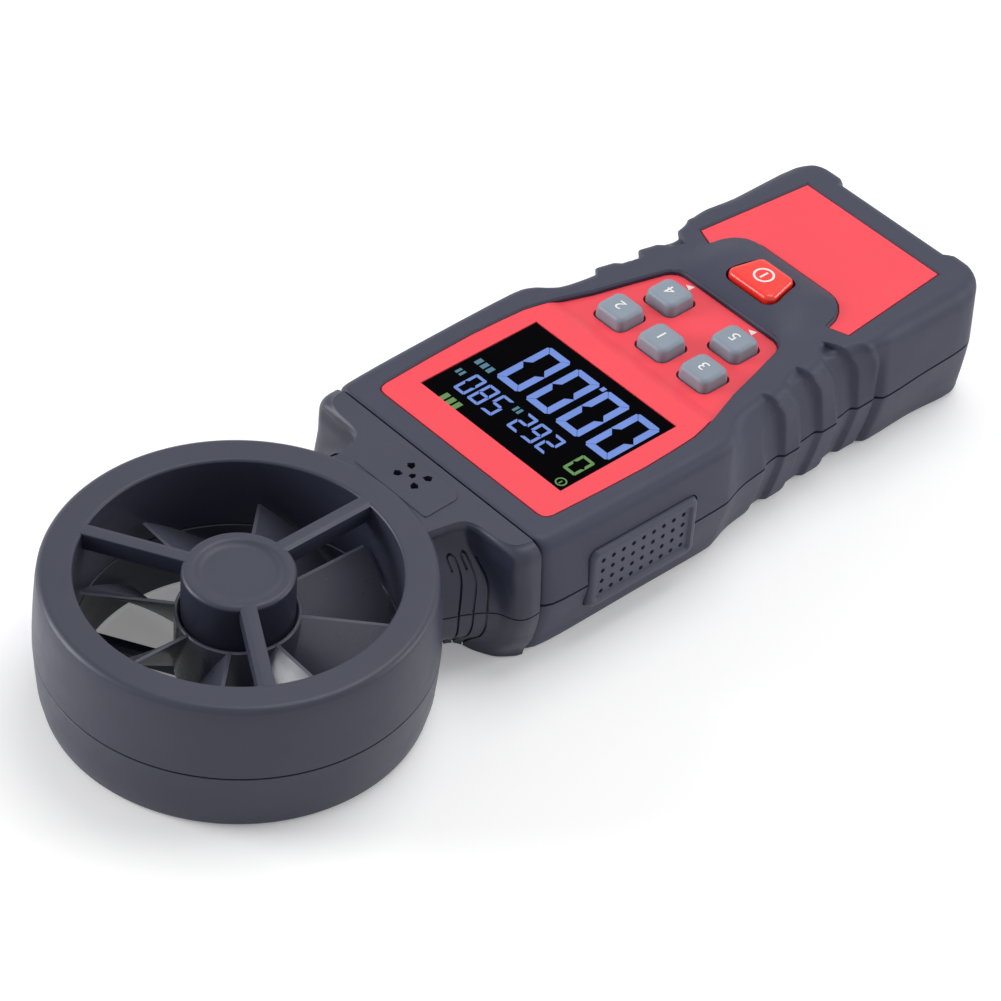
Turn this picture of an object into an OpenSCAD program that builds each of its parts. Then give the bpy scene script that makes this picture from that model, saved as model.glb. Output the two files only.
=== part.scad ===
// Handheld vane anemometer, lying on its back: +Z out of the display face, +Y towards the vane head.
// The origin is the middle of the footprint, on the surface that the instrument lies on.

/* [Case] */
// Half width of the case beside the display
case_half_w = 28.3; // [27:0.1:34]
// Half width of the tail block of the case
tail_half_w = 24.5; // [22:0.1:30]
// Length of the case from the head joint to the tail bumpers
case_len = 116.3; // [112:0.1:140]
// Thickness of the hard shell walls
shell_t = 1.8; // [1.5:0.1:2.2]
// Thickness of the soft grip moulded over the shells
grip_t = 2.2; // [1.8:0.1:2.6]
// Share of the case width that is left at the back, because the rear half tapers
rear_taper = 0.9; // [0.88:0.01:0.96]
// Height of the domed pad around the power key above the plates
arch_h = 2; // [1:0.1:3]
// How far the tail bumpers stand out past the tail wall
bumper_h = 1.4; // [0.8:0.1:2.4]
// How far each finger rib stands out of the waist
rib_h = 1.4; // [0.8:0.1:2]
// Distance between finger ribs
rib_pitch = 9.8; // [8.5:0.1:11]

/* [Vane head] */
// Outside diameter of the vane ring at its seam
vane_od = 70; // [64:0.5:90]
// Thickness of the vane ring between its outside and the air duct
ring_wall = 7.2; // [6.4:0.1:9]
// Distance from the ring to the joint between head and case
neck_len = 9.2; // [8.5:0.1:12]
// Radius of the fixed hub in the middle of the duct
hub_r = 9.8; // [8:0.1:11]
// Width of the spokes that carry the fixed hub
spoke_w = 3; // [2:0.1:4]
// Depth of the front spokes
spoke_t = 4; // [2.5:0.1:5]
// Height of the vane wheel's blades along the air flow
blade_h = 13.4; // [10:0.1:14]
// Running gap between the blade tips and the duct wall
tip_gap = 0.75; // [0.4:0.05:1.2]
// Diameter of the vane wheel's shaft
shaft_d = 1.5; // [1.2:0.1:2.4]
// Number of blades on the vane wheel
blade_count = 8; // [5:1:10]

/* [Display and keys] */
// Width of the display window
window_w = 36.8; // [32:0.1:40]
// Height of the display window, along the instrument
window_h = 27.8; // [24:0.1:30]
// Thickness of the display window
window_t = 1.2; // [0.8:0.1:1.6]
// Width of a function key, across the instrument
key_w = 7.5; // [6:0.1:8.5]
// Length of a function key, along the instrument
key_l = 7; // [6:0.1:8]
// How far the keys stand out of the key plate
key_proud = 2.3; // [1.6:0.1:3]
// How far a key travels when it is pressed
key_travel = 1; // [0.6:0.1:1.2]
// Gap all round between a key and the hole it works in
key_gap = 0.4; // [0.3:0.05:0.5]
// Half width of the power key on its wide side
power_half_w = 6.3; // [5:0.1:7]
// Length of the power key, along the instrument
power_l = 8.4; // [7:0.1:9]

/* [Batteries] */
// Diameter of a battery
battery_d = 10.5; // [8:0.1:13]
// Length of a battery with its raised end
battery_l = 44.5; // [40:0.5:52]

/* [Fixings] */
// Diameter of the case screws
screw_d = 2.5; // [2:0.1:3]
// Bore of the tripod bush (the core of a 1/4 inch thread)
tripod_bore_d = 5.1; // [4:0.1:6]
// Depth of the tripod bush
tripod_depth = 8; // [6:0.5:9]

/* [Hidden] */
$fn = 64;
slack = 0.2;            // gap between fixed parts that drop into each other
board_t = 1.6;          // thickness of the main circuit board
floor_t = 2.2;          // thickness of the back wall
lift = 0.3;             // set-back of the door, screws and bush from the back face
pilot_spare = 1;        // how much deeper a screw hole is than its screw
running = 0.05;         // radial clearance of a screw in its pilot hole

// Heights, from the back up
bay_play = 0.4;
battery_z = floor_t + bay_play + battery_d / 2;
bay_roof_z = battery_z + battery_d / 2 + 0.3;
bay_wall = 1.1;
board_z = bay_roof_z + bay_wall + 0.6;
board_top = board_z + board_t;
split_z = floor_t + battery_d + 0.5;
switch_h = 0.8;
mat_t = 1.2;
mat_z = board_top + switch_h;
light_z = board_top + 1.2;
light_t = 3.2;
lcd_t = 2.8;
lcd_z = light_z + light_t;
plate_under = lcd_z + lcd_t + slack;
ledge_t = 1.3;
window_z = plate_under + ledge_t;
window_set = 0.4;
plate_z = window_z + window_t + window_set;
key_plate_z = plate_z - 0.7;
case_t = plate_z + 0.5;
skin_z = plate_z - 1.2;
grip_z = plate_z + 0.2;
ring_split = case_t * 0.46;
power_top = plate_z + arch_h + 1.1;

// Places along the instrument; v is the distance from the head joint towards the tail
vane_r = vane_od / 2;
total_len = vane_od + neck_len + case_len;
joint_y = total_len / 2 - vane_od - neck_len;
ring_y = total_len / 2 - vane_r;
function along(v) = joint_y - v;
screw_r = screw_d / 2;
post_r = screw_r + 1.6;
lcd_rim = 1.2;
lcd_side = 0.8;
head_post_v = grip_t + post_r;
head_post_x = 18;
case_bite = 7;          // length of a case screw in the front shell
window_v = head_post_v + post_r + lcd_rim + lcd_side + slack + 2.1;
window_end = window_v + window_h;
key_gap_rows = 2.7;
key_flange = 0.9;
key_v = window_end + 10.2 + key_l / 2;
key_tail_v = key_v + key_l + key_gap_rows;
key_x = key_w + 3.4;
key_tail_x = key_w / 2 + 4.8;
power_v = key_tail_v + key_l / 2 + 8.1 + power_l / 2;
plate_end = key_tail_v + key_l / 2 + 4;
name_v = power_v + power_l / 2 + 4.7;
tail_wall = case_len - bumper_h;
name_end = tail_wall - 6.5;
tail_post_v = tail_wall - 11;
tail_post_x = 15;
board_post_v = (window_end + key_v - key_l / 2) / 2;
board_tail_v = tail_post_v - 14;
board_tail_x = 13.5;

// Battery bay
contact_t = 0.5;
spring_h = 4;
battery_pitch = battery_d + 0.2;
bay_half_w = 1.5 * battery_d + 0.6;
bay_len = battery_l + spring_h + 2 * contact_t + 0.6;
bay_v = head_post_v + post_r + 1;
door_gap = 0.25;
door_t = 1.8;
door_v = bay_v + 2.2;
door_len = bay_len - 4.4;
door_half_w = bay_half_w - 1.2;
waist_half_w = (bay_half_w + bay_wall + 0.3) / rear_taper + grip_t;

// Outline of the case, half width at each v, from the head joint to the tail
neck_curve = [for (a = [0:30:90]) [case_half_w - 3.3 + 2.3 * sin(a), 2.3 - 2.3 * cos(a)]];
shoulder_v = window_end + 2;
shoulder_len = 16;
shoulder = [for (t = [0:0.125:1])
    [case_half_w + (waist_half_w - case_half_w) * (1 - cos(180 * t)) / 2, shoulder_v + shoulder_len * t]];
rib_v = shoulder_v + shoulder_len + 5.2;
function rib(k) = [for (p = [[0, -4.6], [0.75, -3.6], [1, -2.5], [0.8, -1.2], [0.55, -0.3], [0, 0]])
    [waist_half_w + rib_h * p[0], rib_v + rib_pitch * k + p[1]]];
ribs = [for (k = [0:2]) for (p = rib(k)) p];
flare_v = rib_v + 2 * rib_pitch + 0.8;
flare = [for (t = [0:0.25:1])
    [waist_half_w + (tail_half_w - waist_half_w) * (1 - cos(180 * t)) / 2, flare_v + 4 * t]];
tail_r = 5;
tail_curve = [for (a = [0:15:90])
    [tail_half_w - tail_r + tail_r * cos(a), case_len - tail_r + tail_r * sin(a)]];
bumper_x = tail_half_w - 10;
side = concat(neck_curve, shoulder, ribs, flare, tail_curve,
    [[bumper_x, case_len], [bumper_x - 1, tail_wall]]);

// The same outline drawn in by a distance; only the outside has the tail bumpers
function drawn_in(p, d) = [max(p[0] - d, 0), d == 0 ? p[1] : min(max(p[1], d), tail_wall - d)];
module outline(d) {
    half = [for (p = side) drawn_in(p, d)];
    last = len(half) - 1;
    polygon(concat([for (p = half) [p[0], along(p[1])]],
        [for (i = [last:-1:0]) [-half[i][0], along(half[i][1])]]));
}
module prism(d, z0, z1) {
    translate([0, 0, z0]) linear_extrude(z1 - z0) outline(d);
}
// The rear half grows from the back face to full width at the seam
module tapered_to_seam() {
    linear_extrude(split_z, scale = [1 / rear_taper, 1], slices = 1) scale([rear_taper, 1]) children();
}
module rear_taper_body(d) {
    tapered_to_seam() outline(d);
}
over_w = case_half_w + 5; // half width of a cutter that passes right across the case
module block(x, v0, v1, z0, z1) {
    translate([-x, along(v1), z0]) cube([2 * x, v1 - v0, z1 - z0]);
}
module rod(x, v, z0, z1, r) {
    translate([x, along(v), z0]) cylinder(r = r, h = z1 - z0);
}
module both_sides() {
    children();
    mirror([1, 0, 0]) children();
}

// Red plates that show through the grip
plate_v = 5;
plate_half_w = window_w / 2 + 4;
plate_r = 2;
plate_side = concat(
    [for (a = [90:-30:0])
        [plate_half_w - plate_r + plate_r * cos(a), plate_v + plate_r - plate_r * sin(a)]],
    [[plate_half_w + 0.4, window_end],
     [key_x + key_w / 2 + 6.2, window_end + 6.6],
     [key_x + key_w / 2 + 3.6, key_v + 0.5],
     [key_tail_x + key_w / 2 + 4, key_tail_v - 1.5]],
    [for (a = [0:30:90])
        [key_tail_x + key_w / 2 - 0.1 + plate_r * cos(a), plate_end - plate_r + plate_r * sin(a)]]);
name_half_w = tail_half_w - 4.9;
arch_x = 9.2;
arch_w = 6.3;
arch_l = 7.6;
name_side = concat(
    [for (a = [0:15:90]) [arch_x + arch_w * sin(a), name_v - arch_l + arch_l * cos(a)]],
    [[name_half_w, name_v - 6], [name_half_w - 2.3, name_end]]);
module mirrored_plate(half) {
    last = len(half) - 1;
    polygon(concat([for (p = half) [p[0], along(p[1])]],
        [for (i = [last:-1:0]) [-half[i][0], along(half[i][1])]]));
}
key_step_v = window_end + 6.5;
module plates() {
    mirrored_plate(plate_side);
    mirrored_plate(name_side);
}

// Keys: place and size of each
KEYS = [[0, key_v], [key_x, key_v], [-key_x, key_v], [key_tail_x, key_tail_v], [-key_tail_x, key_tail_v]];
flange_z = plate_under - 0.3;
flange_t = 1.2;
stem_z = mat_z + mat_t + key_travel + 0.3;
stem_in = 1.5;          // how far a key's stem is drawn in from its cap
key_r = 1.1;
module key_shape(x, v, grow) {
    w = key_w + 2 * grow;
    l = key_l + 2 * grow;
    r = max(key_r + grow, 0.2);
    translate([x, along(v)]) {
        square([w - 2 * r, l], center = true);
        square([w, l - 2 * r], center = true);
        for (i = [-1, 1], j = [-1, 1])
            translate([i * (w / 2 - r), j * (l / 2 - r)]) circle(r = r, $fn = 24);
    }
}
power_tail_half_w = power_half_w - 2;
module power_shape(grow) {
    v0 = power_v - power_l / 2 - grow;
    v1 = power_v + power_l / 2 + grow;
    polygon([[-power_half_w - grow, along(v0)], [-power_tail_half_w - grow, along(v1)],
        [power_tail_half_w + grow, along(v1)], [power_half_w + grow, along(v0)]]);
}

// Tongue of the head, which the two halves of the case trap
tongue_half_w = 12;
tongue_z0 = 5;
tongue_z1 = 21;
flange_half_w = 13.4;
wall_in = grip_t + shell_t;
tongue_end = wall_in + 1.9;
cable_z = board_top + 0.6;
usb_half_w = 3.9;
usb_h = 2.8;
usb_rim = 1.4;          // room round the socket for the plug's own cover
board_edge = wall_in + 0.6;
board_screw_r = 1;
board_bite = 4;         // length of a board screw in its post
board_post_x = bay_half_w + bay_wall + 2.85;
board_post_r = 2.2;
pad_v = 9.8;
pad_len = 26;
pad_z0 = split_z - 6.2;
pad_z1 = split_z + 8.7;
pad_in = case_half_w - 1.7;
pad_out = case_half_w + 0.5;
tripod_v = bay_v + bay_len + bay_wall + 8;
tripod_r = tripod_bore_d / 2 + 2;

module pad_block(w) {
    translate([pad_in, along(pad_v + pad_len), pad_z0]) cube([w, pad_len, pad_z1 - pad_z0]);
}
module pad_recesses() {
    both_sides() pad_block(grip_t + 3);
}

module screw_places() {
    for (p = [[head_post_x, head_post_v], [tail_post_x, tail_post_v]]) {
        both_sides() rod_at(p) children();
    }
}
module rod_at(p) {
    translate([p[0], along(p[1]), 0]) children();
}
module board_places() {
    both_sides() rod_at([board_post_x, board_post_v]) children();
    both_sides() rod_at([board_tail_x, board_tail_v]) children();
}

module front_case() {
    color([0.95, 0.30, 0.33]) difference() {
        union() {
            difference() {
                union() {
                    prism(grip_t, split_z, skin_z);
                    intersection() {
                        translate([0, 0, skin_z]) linear_extrude(key_plate_z - skin_z) plates();
                        block(over_w, 0, name_v - arch_l - 1, skin_z, key_plate_z);
                    }
                    intersection() {
                        translate([0, 0, skin_z]) linear_extrude(plate_z - skin_z) plates();
                        union() {
                            block(over_w, 0, key_step_v, skin_z, plate_z);
                            block(over_w, plate_end + 1, case_len, skin_z, plate_z);
                        }
                    }
                }
                prism(wall_in, split_z - 1, plate_under);
            }
            intersection() {
                screw_places() translate([0, 0, split_z])
                    cylinder(r = post_r, h = plate_under - split_z + 0.5);
                prism(grip_t, split_z, skin_z);
            }
            board_places() translate([0, 0, board_top])
                cylinder(r = board_post_r, h = plate_under - board_top + 0.5);
        }
        screw_places() translate([0, 0, split_z - 1])
            cylinder(r = screw_r + running, h = case_bite + pilot_spare + 1);
        board_places() translate([0, 0, board_top - 1])
            cylinder(r = board_screw_r + running, h = board_bite + pilot_spare + 1);
        block(window_w / 2, window_v, window_end, window_z, plate_z + 1);
        block(window_w / 2 - 1.2, window_v + 1.2, window_end - 1.2, plate_under - 1, window_z + 1);
        translate([0, 0, plate_under - 1]) linear_extrude(5) {
            for (k = KEYS) key_shape(k[0], k[1], key_gap);
            power_shape(key_gap);
        }
        block(tongue_half_w + slack, 0, wall_in + 1, tongue_z0 - slack, tongue_z1 + slack);
        block(usb_half_w + slack, tail_wall - wall_in - 1, case_len,
            board_top - slack, board_top + usb_h + slack);
    }
}

dome_r = (arch_h * arch_h + pow((name_v - plate_end) / 2, 2)) / (2 * arch_h);
dome_v = (name_v + plate_end) / 2;
dome_half_w = 14;
edge_c = 2.4;            // how far the grip's top edge is drawn in
module front_grip() {
    color([0.27, 0.28, 0.33]) difference() {
        union() {
            translate([0, 0, split_z]) linear_extrude(skin_z - edge_c / 2 - split_z) difference() {
                outline(0);
                outline(grip_t);
            }
            difference() {
                union() {
                    translate([0, 0, skin_z - edge_c / 2])
                        linear_extrude(grip_z - skin_z + edge_c / 2, scale = [1 - edge_c / case_half_w, 1],
                            slices = 1) outline(0);
                    intersection() {
                        translate([-dome_half_w, along(dome_v), grip_z + arch_h - dome_r])
                            rotate([0, 90, 0]) cylinder(r = dome_r, h = 2 * dome_half_w);
                        block(dome_half_w, plate_end + 0.3, name_v - 0.3, skin_z, grip_z + arch_h);
                    }
                }
                prism(grip_t, split_z, skin_z);
                translate([0, 0, skin_z - 1]) linear_extrude(5) plates();
            }
        }
        translate([0, 0, skin_z - 1]) linear_extrude(arch_h + 5) power_shape(key_gap);
        pad_recesses();
        block(tongue_half_w + slack, -1, wall_in, tongue_z0, tongue_z1 + slack);
        block(usb_half_w + usb_rim, tail_wall - wall_in, case_len,
            board_top - usb_rim, board_top + usb_h + usb_rim);
    }
}

bay_end = bay_v + bay_len;
rear_in = wall_in + case_half_w * (1 - rear_taper);
rear_post_r = screw_r + 2.05;
screw_head_r = screw_r + 1.05;
screw_head_h = 2;
module rear_case() {
    color([0.20, 0.21, 0.24]) difference() {
        union() {
            difference() {
                rear_taper_body(grip_t);
                prism(rear_in, floor_t, split_z + 1);
            }
            block(bay_half_w + bay_wall, bay_v - bay_wall, bay_end + bay_wall, 0.5, bay_roof_z + bay_wall);
            intersection() {
                screw_places() cylinder(r = rear_post_r, h = split_z);
                rear_taper_body(grip_t);
            }
            rod(0, tripod_v, 0, tripod_depth + lift + 1, tripod_r + 2);
        }
        block(bay_half_w, bay_v, bay_end, floor_t, bay_roof_z);
        block(door_half_w + door_gap, door_v, door_v + door_len, -1, floor_t + 1);
        screw_places() {
            translate([0, 0, -1]) cylinder(r = screw_r + 0.15, h = split_z + 2);
            translate([0, 0, -1]) cylinder(r = screw_head_r + slack, h = screw_head_h + lift + 1.1);
        }
        rod(0, tripod_v, -1, tripod_depth + lift, tripod_r);
        block(tongue_half_w + slack, 0, tongue_end + slack, tongue_z0 - slack, split_z + 1);
        block(flange_half_w + slack, wall_in, tongue_end + slack, tongue_z0 - slack, split_z + 1);
    }
}

module rear_grip() {
    color([0.27, 0.28, 0.33]) difference() {
        tapered_to_seam() difference() {
            outline(0);
            outline(grip_t);
        }
        pad_recesses();
        block(tongue_half_w + slack, -1, wall_in, tongue_z0 - slack, split_z + 1);
    }
}

module side_pad() {
    color([0.30, 0.31, 0.37]) pad_block(pad_out - pad_in);
}
module side_pad_left() {
    mirror([1, 0, 0]) side_pad();
}
module side_pad_right() {
    side_pad();
}

module display_window() {
    gap = 0.1;
    color([0.02, 0.02, 0.03])
        block(window_w / 2 - gap, window_v + gap, window_end - gap, window_z, window_z + window_t);
}
lcd_half_w = window_w / 2 + lcd_side;
module lcd_panel() {
    color([0.05, 0.06, 0.08]) {
        block(lcd_half_w, window_v - lcd_side, window_end + lcd_side, lcd_z, lcd_z + lcd_t);
        block(window_w / 2 - 1.4, window_v + 1.4, window_end - 1.4, lcd_z + lcd_t - 0.5, window_z - 0.1);
    }
}
module backlight() {
    color([0.90, 0.92, 0.95])
        block(lcd_half_w, window_v - lcd_side, window_end + lcd_side, light_z, light_z + light_t);
}
module lcd_frame() {
    inside = lcd_side + 0.1;
    outside = inside + lcd_rim;
    color([0.12, 0.12, 0.14]) difference() {
        block(window_w / 2 + outside, window_v - outside, window_end + outside,
            board_top, lcd_z + lcd_t - slack);
        block(window_w / 2 + inside, window_v - inside, window_end + inside, light_z, plate_under);
    }
}

board_head_v = tongue_end + 0.4;
post_clear_v = head_post_v + post_r + 0.6;
module main_board() {
    color([0.08, 0.35, 0.20]) difference() {
        intersection() {
            prism(board_edge, board_z, board_top);
            union() {
                block(head_post_x - post_r - 0.7, board_head_v, post_clear_v + 1, board_z, board_top);
                block(over_w, post_clear_v, case_len, board_z, board_top);
            }
        }
        screw_places() translate([0, 0, board_z - 1]) cylinder(r = post_r + 0.3, h = board_t + 2);
        board_places() translate([0, 0, board_z - 1]) cylinder(r = board_screw_r + 0.1, h = board_t + 2);
    }
}
module board_connector() {
    color([0.92, 0.90, 0.84])
        block(4.5, board_head_v + 0.3, board_head_v + 2.6, board_top, board_top + 2.4);
}
parts_v = power_v + 16;
chip_w = 10;
module controller_chip() {
    color([0.06, 0.06, 0.07])
        translate([-6 - chip_w / 2, along(parts_v) - chip_w / 2, board_top]) cube([chip_w, chip_w, 1.4]);
}
buzzer_h = 3.6;
module buzzer() {
    color([0.10, 0.10, 0.11]) difference() {
        rod(8, parts_v + 1, board_top, board_top + buzzer_h, 4.5);
        rod(8, parts_v + 1, board_top + buzzer_h - 1, board_top + buzzer_h + 1, 0.8);
    }
}
usb_v = tail_wall - wall_in - 5.5;
usb_wall = 0.4;
module usb_socket() {
    color([0.75, 0.76, 0.78]) difference() {
        block(usb_half_w, usb_v, tail_wall - grip_t - 0.2, board_top, board_top + usb_h);
        block(usb_half_w - usb_wall, usb_v + 1.2, tail_wall,
            board_top + usb_wall, board_top + usb_h - usb_wall);
    }
}
module key_switches() {
    color([0.80, 0.80, 0.82]) {
        for (k = KEYS) rod(k[0], k[1], board_top, mat_z, 3);
        rod(0, power_v, board_top, mat_z, 3);
    }
}
module keypad_mat() {
    color([0.70, 0.72, 0.74])
        block(key_x + key_w / 2 + 1, key_v - key_l / 2 - 1.4, power_v + power_l / 2 + 1,
            mat_z, mat_z + mat_t);
}
module function_key(i) {
    joined = 0.1;
    x = KEYS[i][0];
    v = KEYS[i][1];
    color([0.49, 0.53, 0.56]) {
        translate([0, 0, flange_z - joined])
            linear_extrude(key_plate_z + key_proud - flange_z + joined) key_shape(x, v, 0);
        translate([0, 0, flange_z - flange_t]) linear_extrude(flange_t) key_shape(x, v, key_flange);
        translate([0, 0, stem_z]) linear_extrude(flange_z - stem_z) key_shape(x, v, -stem_in);
    }
}
module power_key() {
    joined = 0.1;
    color([0.95, 0.20, 0.16]) {
        translate([0, 0, flange_z - joined]) linear_extrude(power_top - flange_z + joined) power_shape(0);
        translate([0, 0, flange_z - flange_t]) linear_extrude(flange_t) power_shape(key_flange);
        rod(0, power_v, stem_z, flange_z, power_l / 2 - stem_in);
    }
}

module battery(i) {
    body_l = battery_l - 1;
    turn = (i % 2 == 0) ? 1 : -1;
    gap_end = contact_t + 0.1;
    mid_v = (i % 2 == 0) ? bay_v + gap_end + battery_l / 2 : bay_end - gap_end - battery_l / 2;
    color([0.20, 0.45, 0.70])
        translate([(i - 1) * battery_pitch, along(mid_v), battery_z]) rotate([-90 * turn, 0, 0]) {
            translate([0, 0, -battery_l / 2]) cylinder(r = battery_d / 2, h = body_l);
            translate([0, 0, -battery_l / 2]) cylinder(r = battery_d / 4, h = battery_l);
        }
}
contact_half = battery_d * 0.38;
module battery_contacts() {
    color([0.82, 0.80, 0.70]) for (i = [-1:1]) {
        translate([i * battery_pitch - contact_half, along(bay_v + contact_t), battery_z - contact_half])
            cube([2 * contact_half, contact_t, 2 * contact_half]);
        translate([i * battery_pitch - contact_half, along(bay_end), battery_z - contact_half])
            cube([2 * contact_half, contact_t, 2 * contact_half]);
    }
}
spring_turns = 4;
spring_wire_r = 0.55;
module battery_spring() {
    for (k = [0:spring_turns - 1]) {
        translate([0, 0, spring_wire_r + k * (spring_h - 2 * spring_wire_r) / (spring_turns - 1)])
            rotate_extrude() translate([battery_d * (0.33 - 0.03 * k), 0])
                circle(r = spring_wire_r, $fn = 16);
    }
}
module battery_springs() {
    color([0.80, 0.81, 0.83]) for (i = [0:2]) {
        v = (i % 2 == 0) ? bay_end - contact_t : bay_v + contact_t;
        turn = (i % 2 == 0) ? -90 : 90;
        translate([(i - 1) * battery_pitch, along(v), battery_z]) rotate([turn, 0, 0]) battery_spring();
    }
}
tab_t = 0.8;
tab_w = 3;
tab_in = 1.8;           // how far a door tab reaches under the back wall
module battery_door() {
    joined = 0.1;
    door_top = lift + door_t;
    tab_z = floor_t + slack;
    color([0.20, 0.21, 0.24]) {
        block(door_half_w, door_v + door_gap, door_v + door_len - door_gap, lift, door_top);
        both_sides() translate([(battery_pitch - tab_w) / 2, along(door_v + 2), door_top - joined]) {
            cube([tab_w, 2 - door_gap, tab_z - door_top + 2 * joined]);
            translate([0, 0, tab_z - door_top + joined]) cube([tab_w, 2 + tab_in, tab_t]);
        }
    }
}

module tripod_bush() {
    color([0.80, 0.65, 0.30]) difference() {
        rod(0, tripod_v, lift, lift + tripod_depth - 0.05, tripod_r);
        rod(0, tripod_v, lift - 1, lift + tripod_depth - 1, tripod_bore_d / 2);
    }
}
// Cross recess in a screw head, w across, slots t wide and deep into the head
module cross_recess(w, t, deep) {
    translate([-w / 2, -t / 2, lift - 1]) cube([w, t, deep + 1]);
    translate([-t / 2, -w / 2, lift - 1]) cube([t, w, deep + 1]);
}
module case_screws() {
    color([0.75, 0.75, 0.78]) screw_places() difference() {
        union() {
            translate([0, 0, lift]) cylinder(r = screw_head_r, h = screw_head_h);
            translate([0, 0, lift]) cylinder(r = screw_r, h = split_z + case_bite - lift);
        }
        cross_recess(2 * screw_r, 0.7, 0.8);
    }
}
board_cap_r = 1.9;
board_cap_h = 1.3;
module board_screws() {
    color([0.75, 0.75, 0.78]) board_places() {
        translate([0, 0, board_z - board_cap_h]) cylinder(r = board_cap_r, h = board_cap_h);
        translate([0, 0, board_z - 1]) cylinder(r = board_screw_r, h = board_t + board_bite + 1);
    }
}

// Vane head, about the vane's own axis
duct_r = vane_r - ring_wall;
skin_t = 1.8;
boss_place_r = duct_r + 2.6;
head_screw_r = 1;
head_cap_r = 1.7;
head_cap_h = 1.5;
head_bite = 6.5;        // length of a head screw in the front half
neck_screw_x = 17;
boss_r = 2.3;
boss_gap = 0.15;        // each boss stops short of the seam, so that the walls meet first
head_top = case_t - 0.3;
module at_ring() {
    translate([0, ring_y, 0]) children();
}
module spokes(z0, z1) {
    for (a = [30:120:270]) rotate([0, 0, a]) translate([hub_r - 1, -spoke_w / 2, z0])
        cube([duct_r - hub_r + 1.5, spoke_w, z1 - z0]);
}
module ring_bosses(z0, z1) {
    for (a = [90:120:330]) rotate([0, 0, a]) translate([boss_place_r, 0, z0])
        cylinder(r = boss_r, h = z1 - z0);
}
wing_half_w = case_half_w - 0.5;
wing_t = 5.3;
wing_r = 3.5;
seam = 0.15;
neck_v = -neck_len - 4;
neck_half_w = 13.2;
neck_mid_w = 19;
module wing(z0, z1, w) {
    block(w - wing_r, -wing_t, -seam, z0, z1);
    block(w, -wing_t + wing_r, -seam, z0, z1);
    intersection() {
        both_sides() rod(w - wing_r, -wing_t + wing_r, z0, z1, wing_r);
        block(w, -wing_t, -seam, z0, z1);
    }
}
// Block of the neck: barrel shaped from the front, and wider towards the case
neck_flare = 5;
neck_barrel_top = head_top - 5.5;
function barrel(a) = [neck_half_w + (neck_mid_w + neck_flare - neck_half_w) * cos(a),
    ring_split + (a > 0 ? neck_barrel_top - ring_split : ring_split - lift) * sin(a)];
module neck_barrel(z0, z1) {
    end_v = -wing_t + 1;
    intersection() {
        translate([0, along(neck_v), 0]) rotate([90, 0, 0]) linear_extrude(end_v - neck_v)
            polygon(concat([for (a = [-90:15:90]) barrel(a)],
                [for (a = [90:-15:-90]) [-barrel(a)[0], barrel(a)[1]]]));
        translate([0, 0, z0]) linear_extrude(z1 - z0) polygon([
            [-neck_mid_w, along(neck_v)], [neck_mid_w, along(neck_v)],
            [neck_mid_w + neck_flare, along(end_v)], [-neck_mid_w - neck_flare, along(end_v)]]);
    }
}
neck_groove_pitch = 1.7;
neck_groove_w = 0.7;
module neck_grooves(z0, z1) {
    both_sides() for (k = [0:2])
        translate([neck_half_w + 0.5, along(-neck_len + 0.2 + neck_groove_pitch * k), z0])
            cube([neck_mid_w - neck_half_w + 6, neck_groove_w, z1 - z0]);
}
sensor_v = -neck_len + 3.6;
sensor_hole_r = 0.8;
sensor_half_l = 3.4;
sensor_x = 2.1;
sensor_y = 1.5;
neck_room_half_w = neck_half_w - 2.7;
neck_wall = 1.8;
way_half_w = tongue_half_w - 3;
way_z0 = tongue_z0 + 3;
way_z1 = tongue_z1 - 2;
module neck_room(z0, z1) {
    block(neck_room_half_w, neck_v + 1, -neck_wall, z0, z1);
    block(way_half_w, -neck_wall - 0.2, 1, max(z0, way_z0), min(z1, way_z1));
}
module head_screw_places() {
    at_ring() for (a = [90:120:330]) rotate([0, 0, a]) translate([boss_place_r, 0, 0]) children();
    both_sides() rod_at([neck_screw_x, -wing_t / 2]) children();
}
module tongue(z0, z1) {
    block(tongue_half_w, -seam - 0.1, tongue_end, z0, z1);
    block(flange_half_w, wall_in + slack, tongue_end, z0, z1);
}
// Heights of the vane wheel and its bearings
rear_hub_h = 4.5;
blade_z = rear_hub_h + 0.4;
blade_top = blade_z + blade_h;
hub_z = blade_top - 0.8;
bearing_r = shaft_d / 2 + 1.75;
bearing_h = 2.8;
bearing_cap = 0.8;
front_bearing_z = hub_z + 0.1;
rear_bearing_z = rear_hub_h + 0.2 - bearing_h;
end_play = 0.15;
shaft_z0 = rear_bearing_z + bearing_cap + end_play;
shaft_z1 = front_bearing_z + bearing_h - bearing_cap - end_play;
sensor_z = head_top - 5.6;
sensor_board_t = 0.8;
wheel_r = duct_r - tip_gap;
wheel_hub_r = hub_r + 1.1;
blade_sweep = 39;        // turn of a blade from its front edge to its rear edge, in degrees
blade_lead = -2;         // angle of the first blade's front edge
magnet_z = blade_z + 1.2;
magnet_h = 3;
magnet_r = 4.2;
stem_r = 3;             // boss of the vane wheel on its shaft
blade_w = 1.5;

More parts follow.
